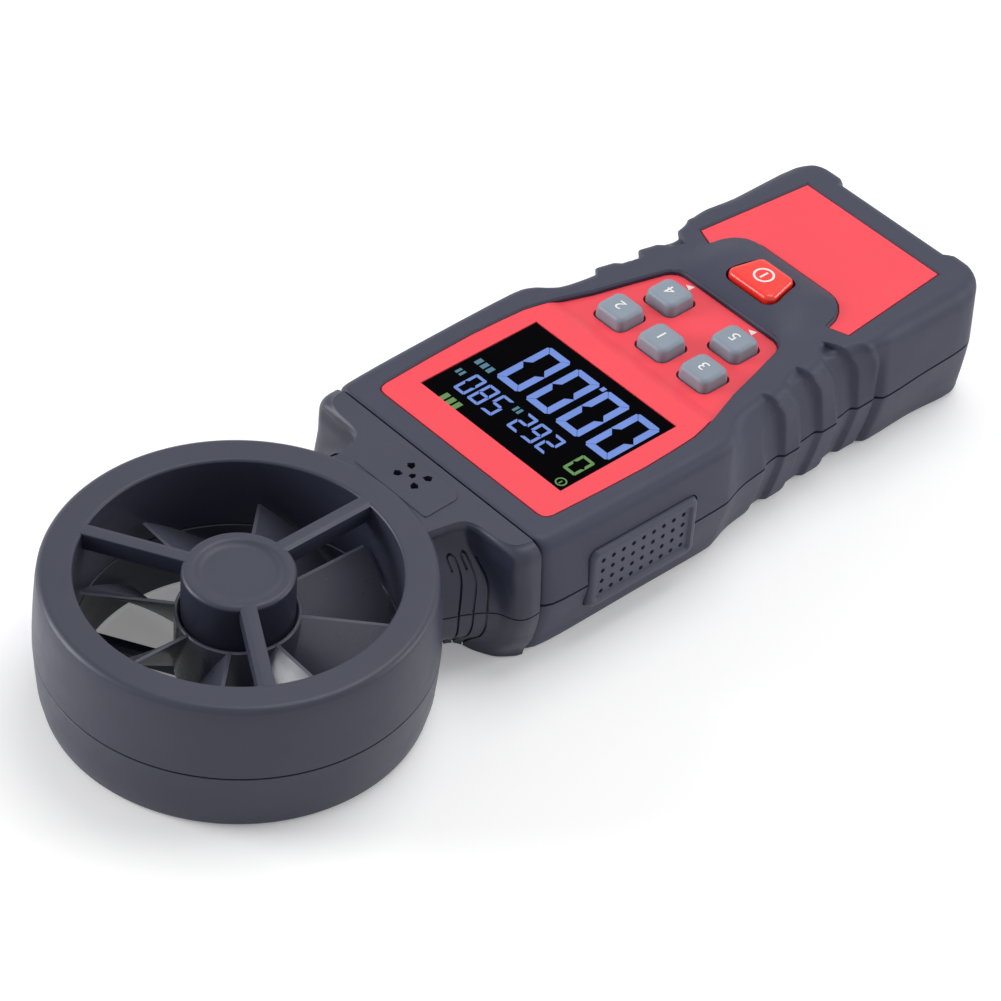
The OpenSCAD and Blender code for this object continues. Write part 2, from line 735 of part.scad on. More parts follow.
module head_front() {
    color([0.27, 0.28, 0.33]) difference() {
        union() {
            at_ring() rotate_extrude($fn = 96) polygon([
                [duct_r, ring_split], [duct_r, case_t], [vane_r - 1.4, case_t],
                [vane_r - 0.4, case_t - 1.2], [vane_r - 0.2, case_t - 6],
                [vane_r, ring_split], [vane_r - skin_t, ring_split],
                [vane_r - skin_t - 0.2, case_t - skin_t], [duct_r + skin_t, case_t - skin_t],
                [duct_r + skin_t, ring_split]]);
            difference() {
                union() {
                    neck_barrel(ring_split, neck_barrel_top);
                    block(neck_half_w, neck_v, -seam, ring_split, head_top);
                    wing(ring_split, head_top, wing_half_w);
                }
                neck_room(ring_split - 1, head_top - 2);
                neck_grooves(ring_split - 1, head_top - 4);
                at_ring() translate([0, 0, ring_split - 1]) cylinder(r = vane_r - skin_t, h = case_t);
            }
            difference() {
                tongue(ring_split, tongue_z1);
                block(way_half_w, -2, tongue_end + 1, ring_split - 1, way_z1);
            }
            at_ring() {
                ring_bosses(ring_split + boss_gap, case_t - skin_t + 0.5);
                spokes(case_t - spoke_t, case_t);
                difference() {
                    translate([0, 0, hub_z]) cylinder(r = hub_r, h = case_t - hub_z);
                    translate([0, 0, hub_z + skin_t])
                        cylinder(r = hub_r - skin_t, h = case_t - hub_z - 2 * skin_t);
                    translate([0, 0, case_t - 0.4]) cylinder(r = hub_r - 2.3, h = 1);
                }
                translate([0, 0, hub_z]) cylinder(r = bearing_r + 1.1, h = bearing_h + 0.9);
            }
            both_sides() rod(5.2, sensor_v - 2, sensor_z + sensor_board_t, head_top - 1.9, 0.9);
        }
        at_ring() {
            translate([0, 0, ring_split - 1])
                cylinder(r = bearing_r, h = front_bearing_z + bearing_h - ring_split + 1);
        }
        head_screw_places() translate([0, 0, ring_split - 1])
            cylinder(r = head_screw_r + running, h = head_bite + pilot_spare + 1);
        rod(0, sensor_v, head_top - 3, case_t + 1, sensor_hole_r);
        both_sides() for (s = [-1, 1])
            rod(sensor_x, sensor_v + s * sensor_y, head_top - 3, case_t + 1, sensor_hole_r);
    }
}

module head_rear() {
    color([0.27, 0.28, 0.33]) difference() {
        union() {
            at_ring() rotate_extrude($fn = 96) polygon([
                [duct_r, 0], [vane_r - 2.9, 0], [vane_r - 1.9, 0.9], [vane_r, ring_split],
                [vane_r - skin_t, ring_split], [vane_r - skin_t - 1.7, skin_t],
                [duct_r + skin_t, skin_t], [duct_r + skin_t, ring_split], [duct_r, ring_split]]);
            difference() {
                union() {
                    neck_barrel(lift, ring_split);
                    wing(lift, ring_split, wing_half_w * rear_taper);
                }
                neck_room(3, ring_split + 1);
                neck_grooves(-1, ring_split + 1);
                at_ring() translate([0, 0, -1]) cylinder(r = vane_r - skin_t - 1.7, h = ring_split + 2);
            }
            difference() {
                tongue(tongue_z0, ring_split);
                block(way_half_w, -2, tongue_end + 1, way_z0, ring_split + 1);
            }
            at_ring() {
                ring_bosses(0.2, ring_split - boss_gap);
                spokes(0, 3);
                difference() {
                    cylinder(r = hub_r, h = rear_hub_h);
                    translate([0, 0, 1.2]) cylinder(r = hub_r - 1.4, h = rear_hub_h);
                }
                cylinder(r = bearing_r + 0.9, h = rear_hub_h);
            }
        }
        at_ring() translate([0, 0, rear_bearing_z]) cylinder(r = bearing_r, h = rear_hub_h);
        head_screw_places() {
            translate([0, 0, -1]) cylinder(r = head_screw_r + 0.1, h = ring_split + 2);
            translate([0, 0, -1]) cylinder(r = head_cap_r + 0.2, h = 1 + lift + head_cap_h + 0.05);
        }
    }
}
module head_screws() {
    color([0.75, 0.75, 0.78]) head_screw_places() difference() {
        union() {
            translate([0, 0, lift]) cylinder(r = head_cap_r, h = head_cap_h);
            translate([0, 0, lift]) cylinder(r = head_screw_r, h = ring_split + head_bite - lift);
        }
        cross_recess(2.4 * head_screw_r, 0.6, 0.7);
    }
}
module sensor_board() {
    color([0.08, 0.35, 0.20]) block(6.4, sensor_v - sensor_half_l, sensor_v + sensor_half_l,
        sensor_z, sensor_z + sensor_board_t);
}
module humidity_sensor() {
    color([0.85, 0.86, 0.88]) block(2.6, sensor_v - 2.2, sensor_v + 2.2, sensor_z + sensor_board_t, head_top - 2.3);
}
cable_t = 0.6;
cable_v = sensor_v - sensor_half_l + 0.1;
module head_cable() {
    color([0.60, 0.62, 0.66]) {
        block(3, cable_v, cable_v + cable_t, cable_z, sensor_z);
        block(3, cable_v, board_head_v + 0.3, cable_z, cable_z + cable_t);
    }
}

module bearing() {
    difference() {
        cylinder(r = bearing_r, h = bearing_h);
        translate([0, 0, bearing_cap]) cylinder(r = shaft_d / 2 + 0.04, h = bearing_h);
    }
}
module rear_bearing() {
    color([0.80, 0.65, 0.30]) at_ring() translate([0, 0, rear_bearing_z]) bearing();
}
module front_bearing() {
    color([0.80, 0.65, 0.30]) at_ring()
        translate([0, 0, front_bearing_z + bearing_h]) mirror([0, 0, 1]) bearing();
}
module vane_shaft() {
    color([0.80, 0.81, 0.83]) at_ring()
        translate([0, 0, shaft_z0]) cylinder(r = shaft_d / 2, h = shaft_z1 - shaft_z0);
}
module vane_wheel() {
    root_r = hub_r + 0.7;
    color([0.30, 0.31, 0.35]) at_ring() difference() {
        union() {
            difference() {
                translate([0, 0, blade_z + 0.3]) cylinder(r = wheel_hub_r, h = blade_h - 0.3);
                translate([0, 0, hub_z - 0.4]) cylinder(r = hub_r + 0.35, h = blade_h);
                translate([0, 0, blade_z - 1]) cylinder(r = hub_r, h = hub_z - 2.4 - blade_z);
            }
            translate([0, 0, magnet_z + magnet_h])
                cylinder(r = stem_r, h = hub_z - 1 - magnet_z - magnet_h);
            for (i = [0:blade_count - 1])
                rotate([0, 0, 360 / blade_count * i + blade_lead - blade_sweep]) translate([0, 0, blade_z])
                    linear_extrude(blade_h, twist = -blade_sweep, slices = 10, segments = 4)
                        translate([root_r, -blade_w / 2]) square([wheel_r - root_r, blade_w]);
        }
        cylinder(r = shaft_d / 2, h = case_t);
    }
}
module rotor_magnet() {
    color([0.35, 0.35, 0.37]) at_ring() translate([0, 0, magnet_z]) difference() {
        cylinder(r = magnet_r, h = magnet_h);
        translate([0, 0, -1]) cylinder(r = shaft_d / 2, h = magnet_h + 2);
    }
}
module pickup_board() {
    color([0.08, 0.35, 0.20]) at_ring() translate([0, 0, 1.2]) difference() {
        cylinder(r = hub_r - 1.7, h = 1);
        translate([0, 0, -1]) cylinder(r = bearing_r + 1.1, h = 3);
    }
}

front_case();
front_grip();
rear_case();
rear_grip();
side_pad_left();
side_pad_right();
display_window();
lcd_panel();
backlight();
lcd_frame();
main_board();
board_connector();
controller_chip();
buzzer();
usb_socket();
key_switches();
keypad_mat();
function_key(0);  // key_middle
function_key(1);  // key_head_right
function_key(2);  // key_head_left
function_key(3);  // key_tail_right
function_key(4);  // key_tail_left
power_key();
battery(0);  // battery_1
battery(1);  // battery_2
battery(2);  // battery_3
battery_contacts();
battery_springs();
battery_door();
tripod_bush();
case_screws();
board_screws();
head_front();
head_rear();
head_screws();
sensor_board();
humidity_sensor();
head_cable();
front_bearing();
rear_bearing();
vane_shaft();
vane_wheel();
rotor_magnet();
pickup_board();
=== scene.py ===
import bisect
import math

import bmesh
import bpy
from mathutils import Matrix, Vector


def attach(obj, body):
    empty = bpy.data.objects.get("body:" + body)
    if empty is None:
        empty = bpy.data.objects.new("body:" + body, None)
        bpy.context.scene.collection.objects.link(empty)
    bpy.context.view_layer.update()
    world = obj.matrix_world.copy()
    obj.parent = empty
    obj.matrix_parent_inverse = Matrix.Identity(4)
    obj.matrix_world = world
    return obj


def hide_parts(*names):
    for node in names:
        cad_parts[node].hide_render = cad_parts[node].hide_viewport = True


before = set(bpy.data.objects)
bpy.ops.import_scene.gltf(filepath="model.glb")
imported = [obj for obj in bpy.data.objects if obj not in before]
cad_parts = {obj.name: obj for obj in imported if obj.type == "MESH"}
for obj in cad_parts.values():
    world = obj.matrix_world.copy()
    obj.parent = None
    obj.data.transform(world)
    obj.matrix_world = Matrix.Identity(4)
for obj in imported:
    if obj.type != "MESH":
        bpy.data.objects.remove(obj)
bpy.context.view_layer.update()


# Front grip: soft dark rubber moulded over the red front shell, down to the seam at half height. It carries
# three finger ribs a side with scooped arches on the face, and a dome round the power key.
# Sizes are in millimetres; v is the distance from the head joint towards the tail.
class Value:
    """A shader value that takes part in arithmetic."""

    def __init__(self, tree, socket):
        self.tree = tree
        self.socket = socket

    def combined(self, operation, first, second):
        node = self.tree.nodes.new("ShaderNodeMath")
        node.operation = operation
        for socket, value in zip(node.inputs, (first, second)):
            if isinstance(value, Value):
                self.tree.links.new(value.socket, socket)
            else:
                socket.default_value = value
        return Value(self.tree, node.outputs[0])

    def __add__(self, other):
        return self.combined("ADD", self, other)

    def __radd__(self, other):
        return self.combined("ADD", other, self)

    def __sub__(self, other):
        return self.combined("SUBTRACT", self, other)

    def __rsub__(self, other):
        return self.combined("SUBTRACT", other, self)

    def __mul__(self, other):
        return self.combined("MULTIPLY", self, other)

    def __rmul__(self, other):
        return self.combined("MULTIPLY", other, self)

    def clipped(self):
        return self.combined("MAXIMUM", self.combined("MINIMUM", self, 1.0), 0.0)


class Finish:
    """A procedural material that is being put together."""

    def __init__(self, name, **constants):
        self.material = bpy.data.materials.new(name)
        self.material.use_nodes = True
        self.tree = self.material.node_tree
        self.shader = self.tree.nodes["Principled BSDF"]
        for key, value in constants.items():
            self.shader.inputs[key.replace("_", " ")].default_value = value
        self.place = self.node("ShaderNodeTexCoord").outputs["Object"]

    def node(self, kind, settings=None, inputs=None):
        made = self.tree.nodes.new(kind)
        for key, value in (settings or {}).items():
            setattr(made, key, value)
        for key, value in (inputs or {}).items():
            self.feed(made.inputs[key], value)
        return made

    def feed(self, socket, value):
        if isinstance(value, Value):
            self.tree.links.new(value.socket, socket)
        elif isinstance(value, bpy.types.NodeSocket):
            self.tree.links.new(value, socket)
        else:
            socket.default_value = value

    def noise(self, size, detail=3.0, roughness=0.5, stretch=(1.0, 1.0, 1.0)):
        """Noise whose lumps are about size millimetres across, from 0 to 1."""
        spread = [1000.0 / size / s for s in stretch]
        scaled = self.node("ShaderNodeVectorMath", {"operation": "MULTIPLY"}, {
            0: self.place, 1: spread})
        made = self.node("ShaderNodeTexNoise", None, {
            "Vector": scaled.outputs[0], "Scale": 1.0, "Detail": detail, "Roughness": roughness})
        return Value(self.tree, made.outputs[0])

    def mix(self, share, first, second):
        made = self.node("ShaderNodeMix", {"data_type": "RGBA"}, {0: share, 6: first, 7: second})
        return made.outputs[2]

    def bump(self, height, depth):
        """Relief of height times depth millimetres."""
        made = self.node("ShaderNodeBump", None, {
            "Height": height, "Distance": depth / 1000.0, "Strength": 1.0})
        self.feed(self.shader.inputs["Normal"], made.outputs[0])

    def drives(self, name, value):
        self.feed(self.shader.inputs[name], value)


def moulded(name, colour, roughness, grain=0.25, relief=0.02, tint=0.12, **constants):
    """Moulded plastic or rubber: fine grain, handling marks and a little unevenness of colour."""
    made = Finish(name, **constants)
    fine = made.noise(grain, 2.0)
    broad = made.noise(18.0, 4.0, 0.6)
    smear = made.noise(5.0, 5.0, 0.65, (1.0, 2.2, 1.0))
    light = [min(1.0, c * (1.0 + tint) + 0.002) for c in colour] + [1.0]
    dark = [c * (1.0 - tint) for c in colour] + [1.0]
    blotch = (broad * 1.6 - 0.3 + (fine - 0.5) * 0.35).clipped()
    made.drives("Base Color", made.mix(blotch, dark, light))
    made.drives("Roughness", (roughness + (smear - 0.5) * 0.22 + (broad - 0.5) * 0.12).clipped())
    made.bump(fine + broad * 0.4, relief)
    return made.material


def eased(points, at):
    """A smooth curve through pairs of place and value that doesn't overshoot them."""
    places = [p[0] for p in points]
    values = [p[1] for p in points]
    k = min(max(bisect.bisect_right(places, at) - 1, 0), len(points) - 2)

    def slope(i):
        if i == 0 or i == len(points) - 1:
            return 0.0
        before = (values[i] - values[i - 1]) / (places[i] - places[i - 1])
        after = (values[i + 1] - values[i]) / (places[i + 1] - places[i])
        if before * after <= 0:
            return 0.0
        return 2 * before * after / (before + after)

    h = places[k + 1] - places[k]
    t = min(max((at - places[k]) / h, 0.0), 1.0)
    return (values[k] * (1 + 2 * t) * (1 - t) ** 2 + h * slope(k) * t * (1 - t) ** 2
            + values[k + 1] * t * t * (3 - 2 * t) + h * slope(k + 1) * t * t * (t - 1))


def rise(t):
    """A soft step from 0 to 1."""
    t = min(max(t, 0.0), 1.0)
    return t * t * (3 - 2 * t)


def steps(low, high, count):
    return [low + (high - low) * i / count for i in range(count + 1)]


def solid(bm, name):
    """An object from a mesh worked out in millimetres."""
    bmesh.ops.remove_doubles(bm, verts=bm.verts, dist=0.002)
    bmesh.ops.recalc_face_normals(bm, faces=bm.faces)
    bmesh.ops.scale(bm, vec=(0.001, 0.001, 0.001), verts=bm.verts)
    mesh = bpy.data.meshes.new(name)
    bm.to_mesh(mesh)
    bm.free()
    made = bpy.data.objects.new(name, mesh)
    bpy.context.scene.collection.objects.link(made)
    return made


def combined(piece, others, operation="DIFFERENCE"):
    """The piece with other solids cut from it or joined to it."""
    for other in others:
        step = piece.modifiers.new("cut", "BOOLEAN")
        step.operation = operation
        step.solver = "EXACT"
        step.object = other
    ready = piece.evaluated_get(bpy.context.evaluated_depsgraph_get())
    mesh = bpy.data.meshes.new_from_object(ready)
    piece.modifiers.clear()
    piece.data = mesh
    for other in others:
        bpy.data.objects.remove(other)
    return piece


def finished(piece, material, body, slot, *nodes, angle=32):
    """Shading, finish and place in the CAD frame of a piece."""
    piece.data.shade_smooth()
    piece.data.set_sharp_from_angle(angle=math.radians(angle))
    piece.modifiers.new("normals", "WEIGHTED_NORMAL").keep_sharp = True
    piece.data.materials.clear()
    piece.data.materials.append(material)
    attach(piece, body)
    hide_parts(*nodes)
    return piece


def extruded(sections, name):
    """A solid that runs through sections, which are loops with the same number of points."""
    bm = bmesh.new()
    first = bm.faces.new([bm.verts.new(p) for p in sections[0]])
    face = first
    for section in sections[1:]:
        grown = bmesh.ops.extrude_face_region(bm, geom=[face])["geom"]
        if face is not first:
            bmesh.ops.delete(bm, geom=[face], context="FACES_ONLY")
        face = next(g for g in grown if isinstance(g, bmesh.types.BMFace))
        for vert, place in zip(face.verts, section):
            vert.co = place
    return solid(bm, name)


def prism(loop, low, high, name="prism", lip=0.0, flare=0.0):
    """A flat outline raised from low to high, with its top edge drawn in by lip or let out by flare."""
    sections = [[(x, y, low) for x, y in loop]]
    edge = max(abs(lip), abs(flare))
    if edge:
        sections.append([(x, y, high - edge) for x, y in loop])
        if lip:
            sections.append([(x, y, high - edge * 0.3) for x, y in grown_loop(loop, -edge * 0.3)])
        sections.append([(x, y, high) for x, y in grown_loop(loop, flare - lip)])
        if flare:
            sections.append([(x, y, high + 2) for x, y in grown_loop(loop, flare)])
    else:
        sections.append([(x, y, high) for x, y in loop])
    return extruded(sections, name)


def block(x0, x1, v0, v1, low, high, name="block"):
    loop = [(x0, joint - v1), (x1, joint - v1), (x1, joint - v0), (x0, joint - v0)]
    return prism(loop, low, high, name)


def grown_loop(loop, by):
    """An outline let out, or drawn in where by is below 0."""
    area = sum(a[0] * b[1] - b[0] * a[1] for a, b in zip(loop, loop[1:] + loop[:1]))
    turn = math.copysign(1.0, area)
    out = []
    for i, here in enumerate(loop):
        before = Vector(here) - Vector(loop[i - 1])
        after = Vector(loop[(i + 1) % len(loop)]) - Vector(here)
        a = Vector((before.y, -before.x)).normalized() * turn
        b = Vector((after.y, -after.x)).normalized() * turn
        bisector = (a + b).normalized()
        out.append(tuple(Vector(here) + bisector * by / max(bisector.dot(a), 0.4)))
    return out


def both_halves(half):
    """The closed outline whose right half is given as pairs of half width and distance from the joint."""
    right = [(x, joint - v) for x, v in half]
    left = [(-x, joint - v) for x, v in reversed(half)]
    return right + left


def rounded(corners, count=5):
    """An outline with each corner (x, y, radius) rounded."""
    out = []
    for i, (x, y, r) in enumerate(corners):
        here = Vector((x, y))
        before = (Vector(corners[i - 1][:2]) - here).normalized()
        after = (Vector(corners[(i + 1) % len(corners)][:2]) - here).normalized()
        if r <= 0:
            out.append((x, y))
            continue
        half = before.angle(after) / 2
        reach = r / math.tan(half)
        centre = here + (before + after).normalized() * r / math.sin(half)
        start = here + before * reach - centre
        end = here + after * reach - centre
        sweep = math.atan2(start.x * end.y - start.y * end.x, start.dot(end))
        for t in steps(0.0, sweep, count):
            c, s = math.cos(t), math.sin(t)
            out.append((centre.x + start.x * c - start.y * s, centre.y + start.x * s + start.y * c))
    return out


joint = 18.55           # y of the head joint
seam_z = 13.2
seam_lip = 0.24         # how far each grip stops short of the seam
face_z = 27.2
case_end = 115.6
# Half widths of the case along v, at the face and at the seam
rim = ((0, 25.0), (0.2, 25.9), (0.7, 26.7), (1.5, 27.2), (2.6, 27.4), (16, 27.95), (40.5, 28.3),
       (44.3, 28.05), (46.5, 27.15), (48.6, 25.6), (51.3, 24.2), (55.4, 23.3), (58.5, 22.85), (66.0, 22.2),
       (76.0, 21.35), (80.5, 21.4), (83.0, 22.2), (86.0, 24.2), (88.5, 24.5), (106.8, 24.5), (110.2, 24.1),
       (113.0, 22.7), (114.8, 20.4), (115.6, 17.6))
seam_rim = ((0, 25.4), (0.2, 26.4), (0.7, 27.4), (1.5, 28.0), (3.8, 28.6), (9.4, 28.75), (24, 28.6),
            (40.5, 28.45), (44.3, 28.3), (46.5, 27.7), (48.6, 27.0), (51.3, 26.4), (54.0, 26.1),
            (55.3, 25.95), (56.5, 25.2), (60.0, 24.76), (66.45, 24.57), (69.9, 24.26), (76.3, 24.06),
            (79.7, 23.62), (84.2, 23.55), (87.6, 25.3), (88.8, 25.4), (99.2, 24.9), (106.8, 24.7),
            (110.2, 24.35), (112.5, 23.4), (114.8, 20.8), (115.6, 18.1))
# Finger ribs: v of each crest with the half width where its scoop ends, and the rib's height along v at the
# face and at the seam
rib_crests = ((60.9, 22.3), (70.95, 19.9), (80.8, 17.9))
rib_shape = ((-1.6, 0.0, 0.0), (-1.2, 0.15, 0.03), (-0.9, 0.45, 0.2), (-0.3, 1.25, 0.72),
             (-0.1, 1.45, 0.86), (0.1, 1.5, 0.91), (0.5, 1.5, 0.93), (3.5, 1.0, 0.93), (3.8, 0.85, 0.86),
             (4.8, 0.05, 0.05), (5.1, 0.0, 0.0))
scoop_reach = 5.2
scoop_deep = 1.2
rib_marks = [c + d[0] for c, _ in rib_crests for d in rib_shape] + [c - 0.6 for c, _ in rib_crests]
spread = [v for v in steps(43, 89, 100) if all(abs(v - m) > 0.13 for m in rib_marks)]
stations = sorted([0.28, 0.36, 0.55, 0.8, 1.2, 1.8, 2.6] + steps(5, 42, 9) + rib_marks + spread
                  + steps(92, 106, 5) + steps(107, 115.0, 20)
                  + [115.2, 115.35, 115.45, 115.53, 115.58, 115.6])


def edge_at(v, low=0.0):
    """Half width of the case with its finger ribs, from the rim (low 0) to the seam (low 1)."""
    out = eased(rim, v) * (1 - low) + eased(seam_rim, v) * low
    for crest, _ in rib_crests:
        d = v - crest
        for (d0, a0, b0), (d1, a1, b1) in zip(rib_shape, rib_shape[1:]):
            if d0 <= d < d1:
                start = a0 * (1 - low) + b0 * low
                end = a1 * (1 - low) + b1 * low
                out += start + (end - start) * (d - d0) / (d1 - d0)
    return out


def lean(v, amount):
    """Where a station of the ribs really lies: the ribs bend towards the head where they reach the face."""
    return v + amount * rise((v - 46) / 10) * (1 - rise((v - 84.5) / 4))


def scoop_depth(v, x):
    """How far the face dips beside each finger rib."""
    depth = 0.0
    for crest, corner in rib_crests:
        d = v - crest
        if -scoop_reach < d < 0:
            inside = corner + 0.33 * max(0.0, -d - 0.6)
            along = rise((d + scoop_reach) / 2.8) * (1 - rise((d + 1.0) / 0.95))
            depth = along * rise((x - inside) / 0.65)
    return scoop_deep * depth


def turn_radius(v):
    """Radius of the edge between the face and the side."""
    return eased(((0, 2.5), (44, 2.5), (56, 2.3), (86, 2.3), (96, 4.0), (108, 4.0), (115.6, 2.6)), v)


dome_middle = 79.5
dome_height = 2.0
dome_half_l = 8.4
dome_half_w = 17.0


def dome(v, x):
    """Height of the pad round the power key above the face."""
    along = max(0.0, 1 - ((v - dome_middle) / dome_half_l) ** 2)
    return dome_height * along ** 0.85 * rise((dome_half_w - abs(x)) / 8.5)


head_r = 0.9
tail_r = 2.3


def end_drop(v):
    """Rounding of the face where it meets the head and tail ends."""
    for near, radius in ((v, head_r), (case_end - v, tail_r)):
        if near < radius:
            return radius - math.sqrt(radius * radius - (radius - near) ** 2)
    return 0.0


rim_band = 4.7          # width of the finer strip of the face along the rim
corner_turns = steps(0, 90, 8)[1:]
front_columns = ([("face", share) for share in steps(0, 1, 9)]
                 + [("near", gap) for gap in steps(rim_band, 0, 19)[1:]]
                 + [("turn", a) for a in corner_turns]
                 + [("side", share) for share in steps(0, 1, 10)[1:]]
                 + [("lip", seam_z + seam_lip)])


def front_point(v, column):
    kind, size = column
    edge = edge_at(v)
    r = turn_radius(v)
    top = face_z - end_drop(v)
    if kind in ("face", "near"):
        x = (edge - r - rim_band) * size if kind == "face" else edge - r - size
        gap = edge - x
        shift = -min(3.6, 2.1 + 0.5 * (gap - 2.3)) * (1 - rise((gap - 7) / 7))
        place = lean(v, shift)
        return (x, joint - place, top + dome(place, x) - scoop_depth(v, x))
    if kind == "turn":
        a = math.radians(size)
        x = edge - r + r * math.sin(a)
        dip = scoop_depth(v, x) * (1 - size / 90)
        return (x, joint - lean(v, -2.1 + 1.4 * size / 90), top - r * (1 - math.cos(a)) - dip)
    if kind == "side":
        z = top - r + (13.5 - top + r) * size
        shift = eased(((13, 0.95), (20.5, 1.0), (22.5, 0.65), (24, -0.1), (24.9, -0.7)), z)
        return (edge_at(v, size), joint - lean(v, shift), z)
    return (edge_at(v, 1.0) - 0.08, joint - lean(v, 0.95), size)


def tail_notch(low, high, roof):
    """What is cut away between the two tail bumpers, with the edges it leaves rounded."""
    sections = []
    for x, wall in ((-15.4, 115.7), (-14.9, 115.5), (-14.2, 115.05), (-13.7, 114.6), (-13.4, 114.3),
                    (13.4, 114.3), (13.7, 114.6), (14.2, 115.05), (14.9, 115.5), (15.4, 115.7)):
        side = [(117.5, low), (wall, low)]
        for a in steps(0, math.pi / 2, 7):
            side.append((wall - tail_r + tail_r * math.cos(a), roof - tail_r + tail_r * math.sin(a)))
        side += [(wall - tail_r, high), (117.5, high)]
        sections.append([(x, joint - v, z) for v, z in side])
    return extruded(sections, "notch")


def skin(columns, place, name):
    """A solid with a moulded skin: half a grid set by place, mirrored, with flat ends and a flat foot."""
    bm = bmesh.new()
    across = len(columns) - 1
    down = len(stations) - 1
    bmesh.ops.create_grid(bm, x_segments=across, y_segments=down, size=0.5)
    for vert in bm.verts:
        i = round((vert.co.x + 0.5) * across)
        j = round((vert.co.y + 0.5) * down)
        vert.co = place(stations[j], columns[i])
    bmesh.ops.mirror(bm, geom=bm.verts[:] + bm.edges[:] + bm.faces[:], axis="X", merge_dist=0.001)
    for v in (stations[0], stations[-1]):
        ends = [vert for vert in bm.verts if abs(vert.co.y - (joint - v)) < 1e-5]
        ends.sort(key=lambda vert: math.atan2(vert.co.z - seam_z, vert.co.x))
        bm.faces.new(ends)
    foot = [edge for edge in bm.edges if edge.is_boundary]
    bmesh.ops.holes_fill(bm, edges=foot, sides=0)
    return solid(bm, name)


shell_half = [(22.9, 2.2), (25.1, 2.4), (26.1, 42), (25.86, 44), (25.17, 46), (24.13, 48), (22.91, 50),
              (21.69, 52), (20.65, 54), (19.96, 56), (19.72, 58)]
for start in (58.6, 68.4, 78.2):
    shell_half += [(19.72, start), (20.77, start + 1), (21.12, start + 2.1), (20.84, start + 3.4),
                   (20.49, start + 4.3), (19.72, start + 4.6)]
shell_half += [(19.72, 83.6), (20.1, 84.6), (21.01, 85.6), (21.92, 86.6), (22.3, 87.6), (22.3, 111.3),
               (22.13, 112.59), (21.6, 112.7)]
shell_loop = both_halves(shell_half)
plate_half = [(20.1, 5.07), (21.2, 5.3), (21.9, 5.95), (22.25, 7.1), (22.75, 18.0), (23.0, 28.2),
              (22.75, 35.4), (22.44, 40.5), (21.7, 43.8), (20.9, 46.6), (18.26, 54.2), (16.3, 61.9),
              (14.5, 68.4), (13.9, 69.6), (12.9, 70.5), (11.6, 70.86)]
name_half = [(8.7, 88.1), (10.4, 87.75), (11.9, 87.0), (13.6, 85.4), (14.8, 83.4), (15.5, 80.7),
             (19.5, 82.2), (17.2, 108.3)]
plate_loop = both_halves(plate_half)
name_loop = both_halves(name_half)
power_head = joint - 75.0
power_tail = joint - 83.4
power_loop = rounded([(6.3, power_head, 1.7), (4.3, power_tail, 1.7), (-4.3, power_tail, 1.7),
                      (-6.3, power_head, 1.7)])
shell_room = 0.04       # room of the red shell in the rubber
plate_floor = 25.0      # depth that the openings for the red plates and the power key start from
rubber = moulded("grip_rubber", (0.035, 0.038, 0.066), 0.52, 0.22, 0.022, 0.08, Specular_IOR_Level=0.32)

front_grip = skin(front_columns, front_point, "grip_front")
front_grip = combined(front_grip, [
    prism(grown_loop(shell_loop, shell_room), 12.0, 25.78),
    prism(plate_loop, plate_floor, face_z, flare=0.35),
    prism(name_loop, plate_floor, face_z, flare=0.35),
    prism(grown_loop(power_loop, 0.45), plate_floor, 34.0),
    tail_notch(12, 30, face_z),
    block(-12.2, 12.2, -1, 4, 12, 21.2),
    block(-5.3, 5.3, 110, 118, 15.3, 20.9)])
finished(front_grip, rubber, "root", "grip", "front_grip")


# Rear grip: the same soft rubber, moulded round the hard rear shell. Its sides draw in towards the back,
# and the finger ribs run on across the seam.
back_r = 1.6            # radius of the edge between the side and the back
foot_draw = ((0, 3.4), (30, 3.2), (44, 3.0), (56, 3.2), (88, 3.2), (99, 3.0), (115.6, 1.6))
rear_columns = ([("lip", seam_z - seam_lip)] + [("side", z) for z in steps(12.9, back_r, 9)]
                + [("turn", a) for a in corner_turns] + [("foot", s) for s in (0.8, 0.6, 0.4, 0.2, 0.0)])


def rear_point(v, column):
    kind, size = column
    seam_edge = edge_at(v, 1.0)
    foot_edge = seam_edge - eased(foot_draw, v)
    y = joint - lean(v, 0.95)
    if kind == "lip":
        return (seam_edge - 0.08, y, size)
    if kind == "side":
        share = (seam_z - size) / seam_z
        return (seam_edge + (foot_edge - seam_edge) * share ** 1.3, y, size)
    if kind == "turn":
        a = math.radians(size)
        return (foot_edge + 0.3 - back_r * (1 - math.cos(a)), y, back_r - back_r * math.sin(a))
    return ((foot_edge - 1.3) * size, y, 0.0)


shell_foot = [(x * 0.9, y) for x, y in shell_loop]
rear_well = extruded([[(x, y, z) for x, y in grown_loop(loop, shell_room)] for loop, z in (
    (shell_foot, -1.0), (shell_foot, 0.0), (shell_loop, seam_z), (shell_loop, 15.0))], "well")
rear_grip = skin(rear_columns, rear_point, "grip_rear")
rear_grip = combined(rear_grip, [
    rear_well, block(-13.4, 13.4, 114.2, 118, -1, 14), block(-12.2, 12.2, -1, 4, 4.8, 14)])
finished(rear_grip, rubber, "root", "grip", "rear_grip")


# Front shell: hard red plastic. Only its raised plates show through the grip: the display and key plate,
# whose key field lies a step lower, and the bare nameplate.
red = moulded("red_plastic", (0.90, 0.062, 0.088), 0.42, 0.35, 0.010, 0.04, Specular_IOR_Level=0.35)
head_row = 53.7
tail_row = 63.8
key_places = {"key_middle": (0, head_row), "key_head_right": (10.9, head_row),
              "key_head_left": (-10.9, head_row), "key_tail_right": (8.4, tail_row),
              "key_tail_left": (-8.4, tail_row)}


def key_loop(x, v, half_w, half_l, r, count=5):
    y = joint - v
    return rounded([(x - half_w, y - half_l, r), (x + half_w, y - half_l, r),
                    (x + half_w, y + half_l, r), (x - half_w, y + half_l, r)], count)


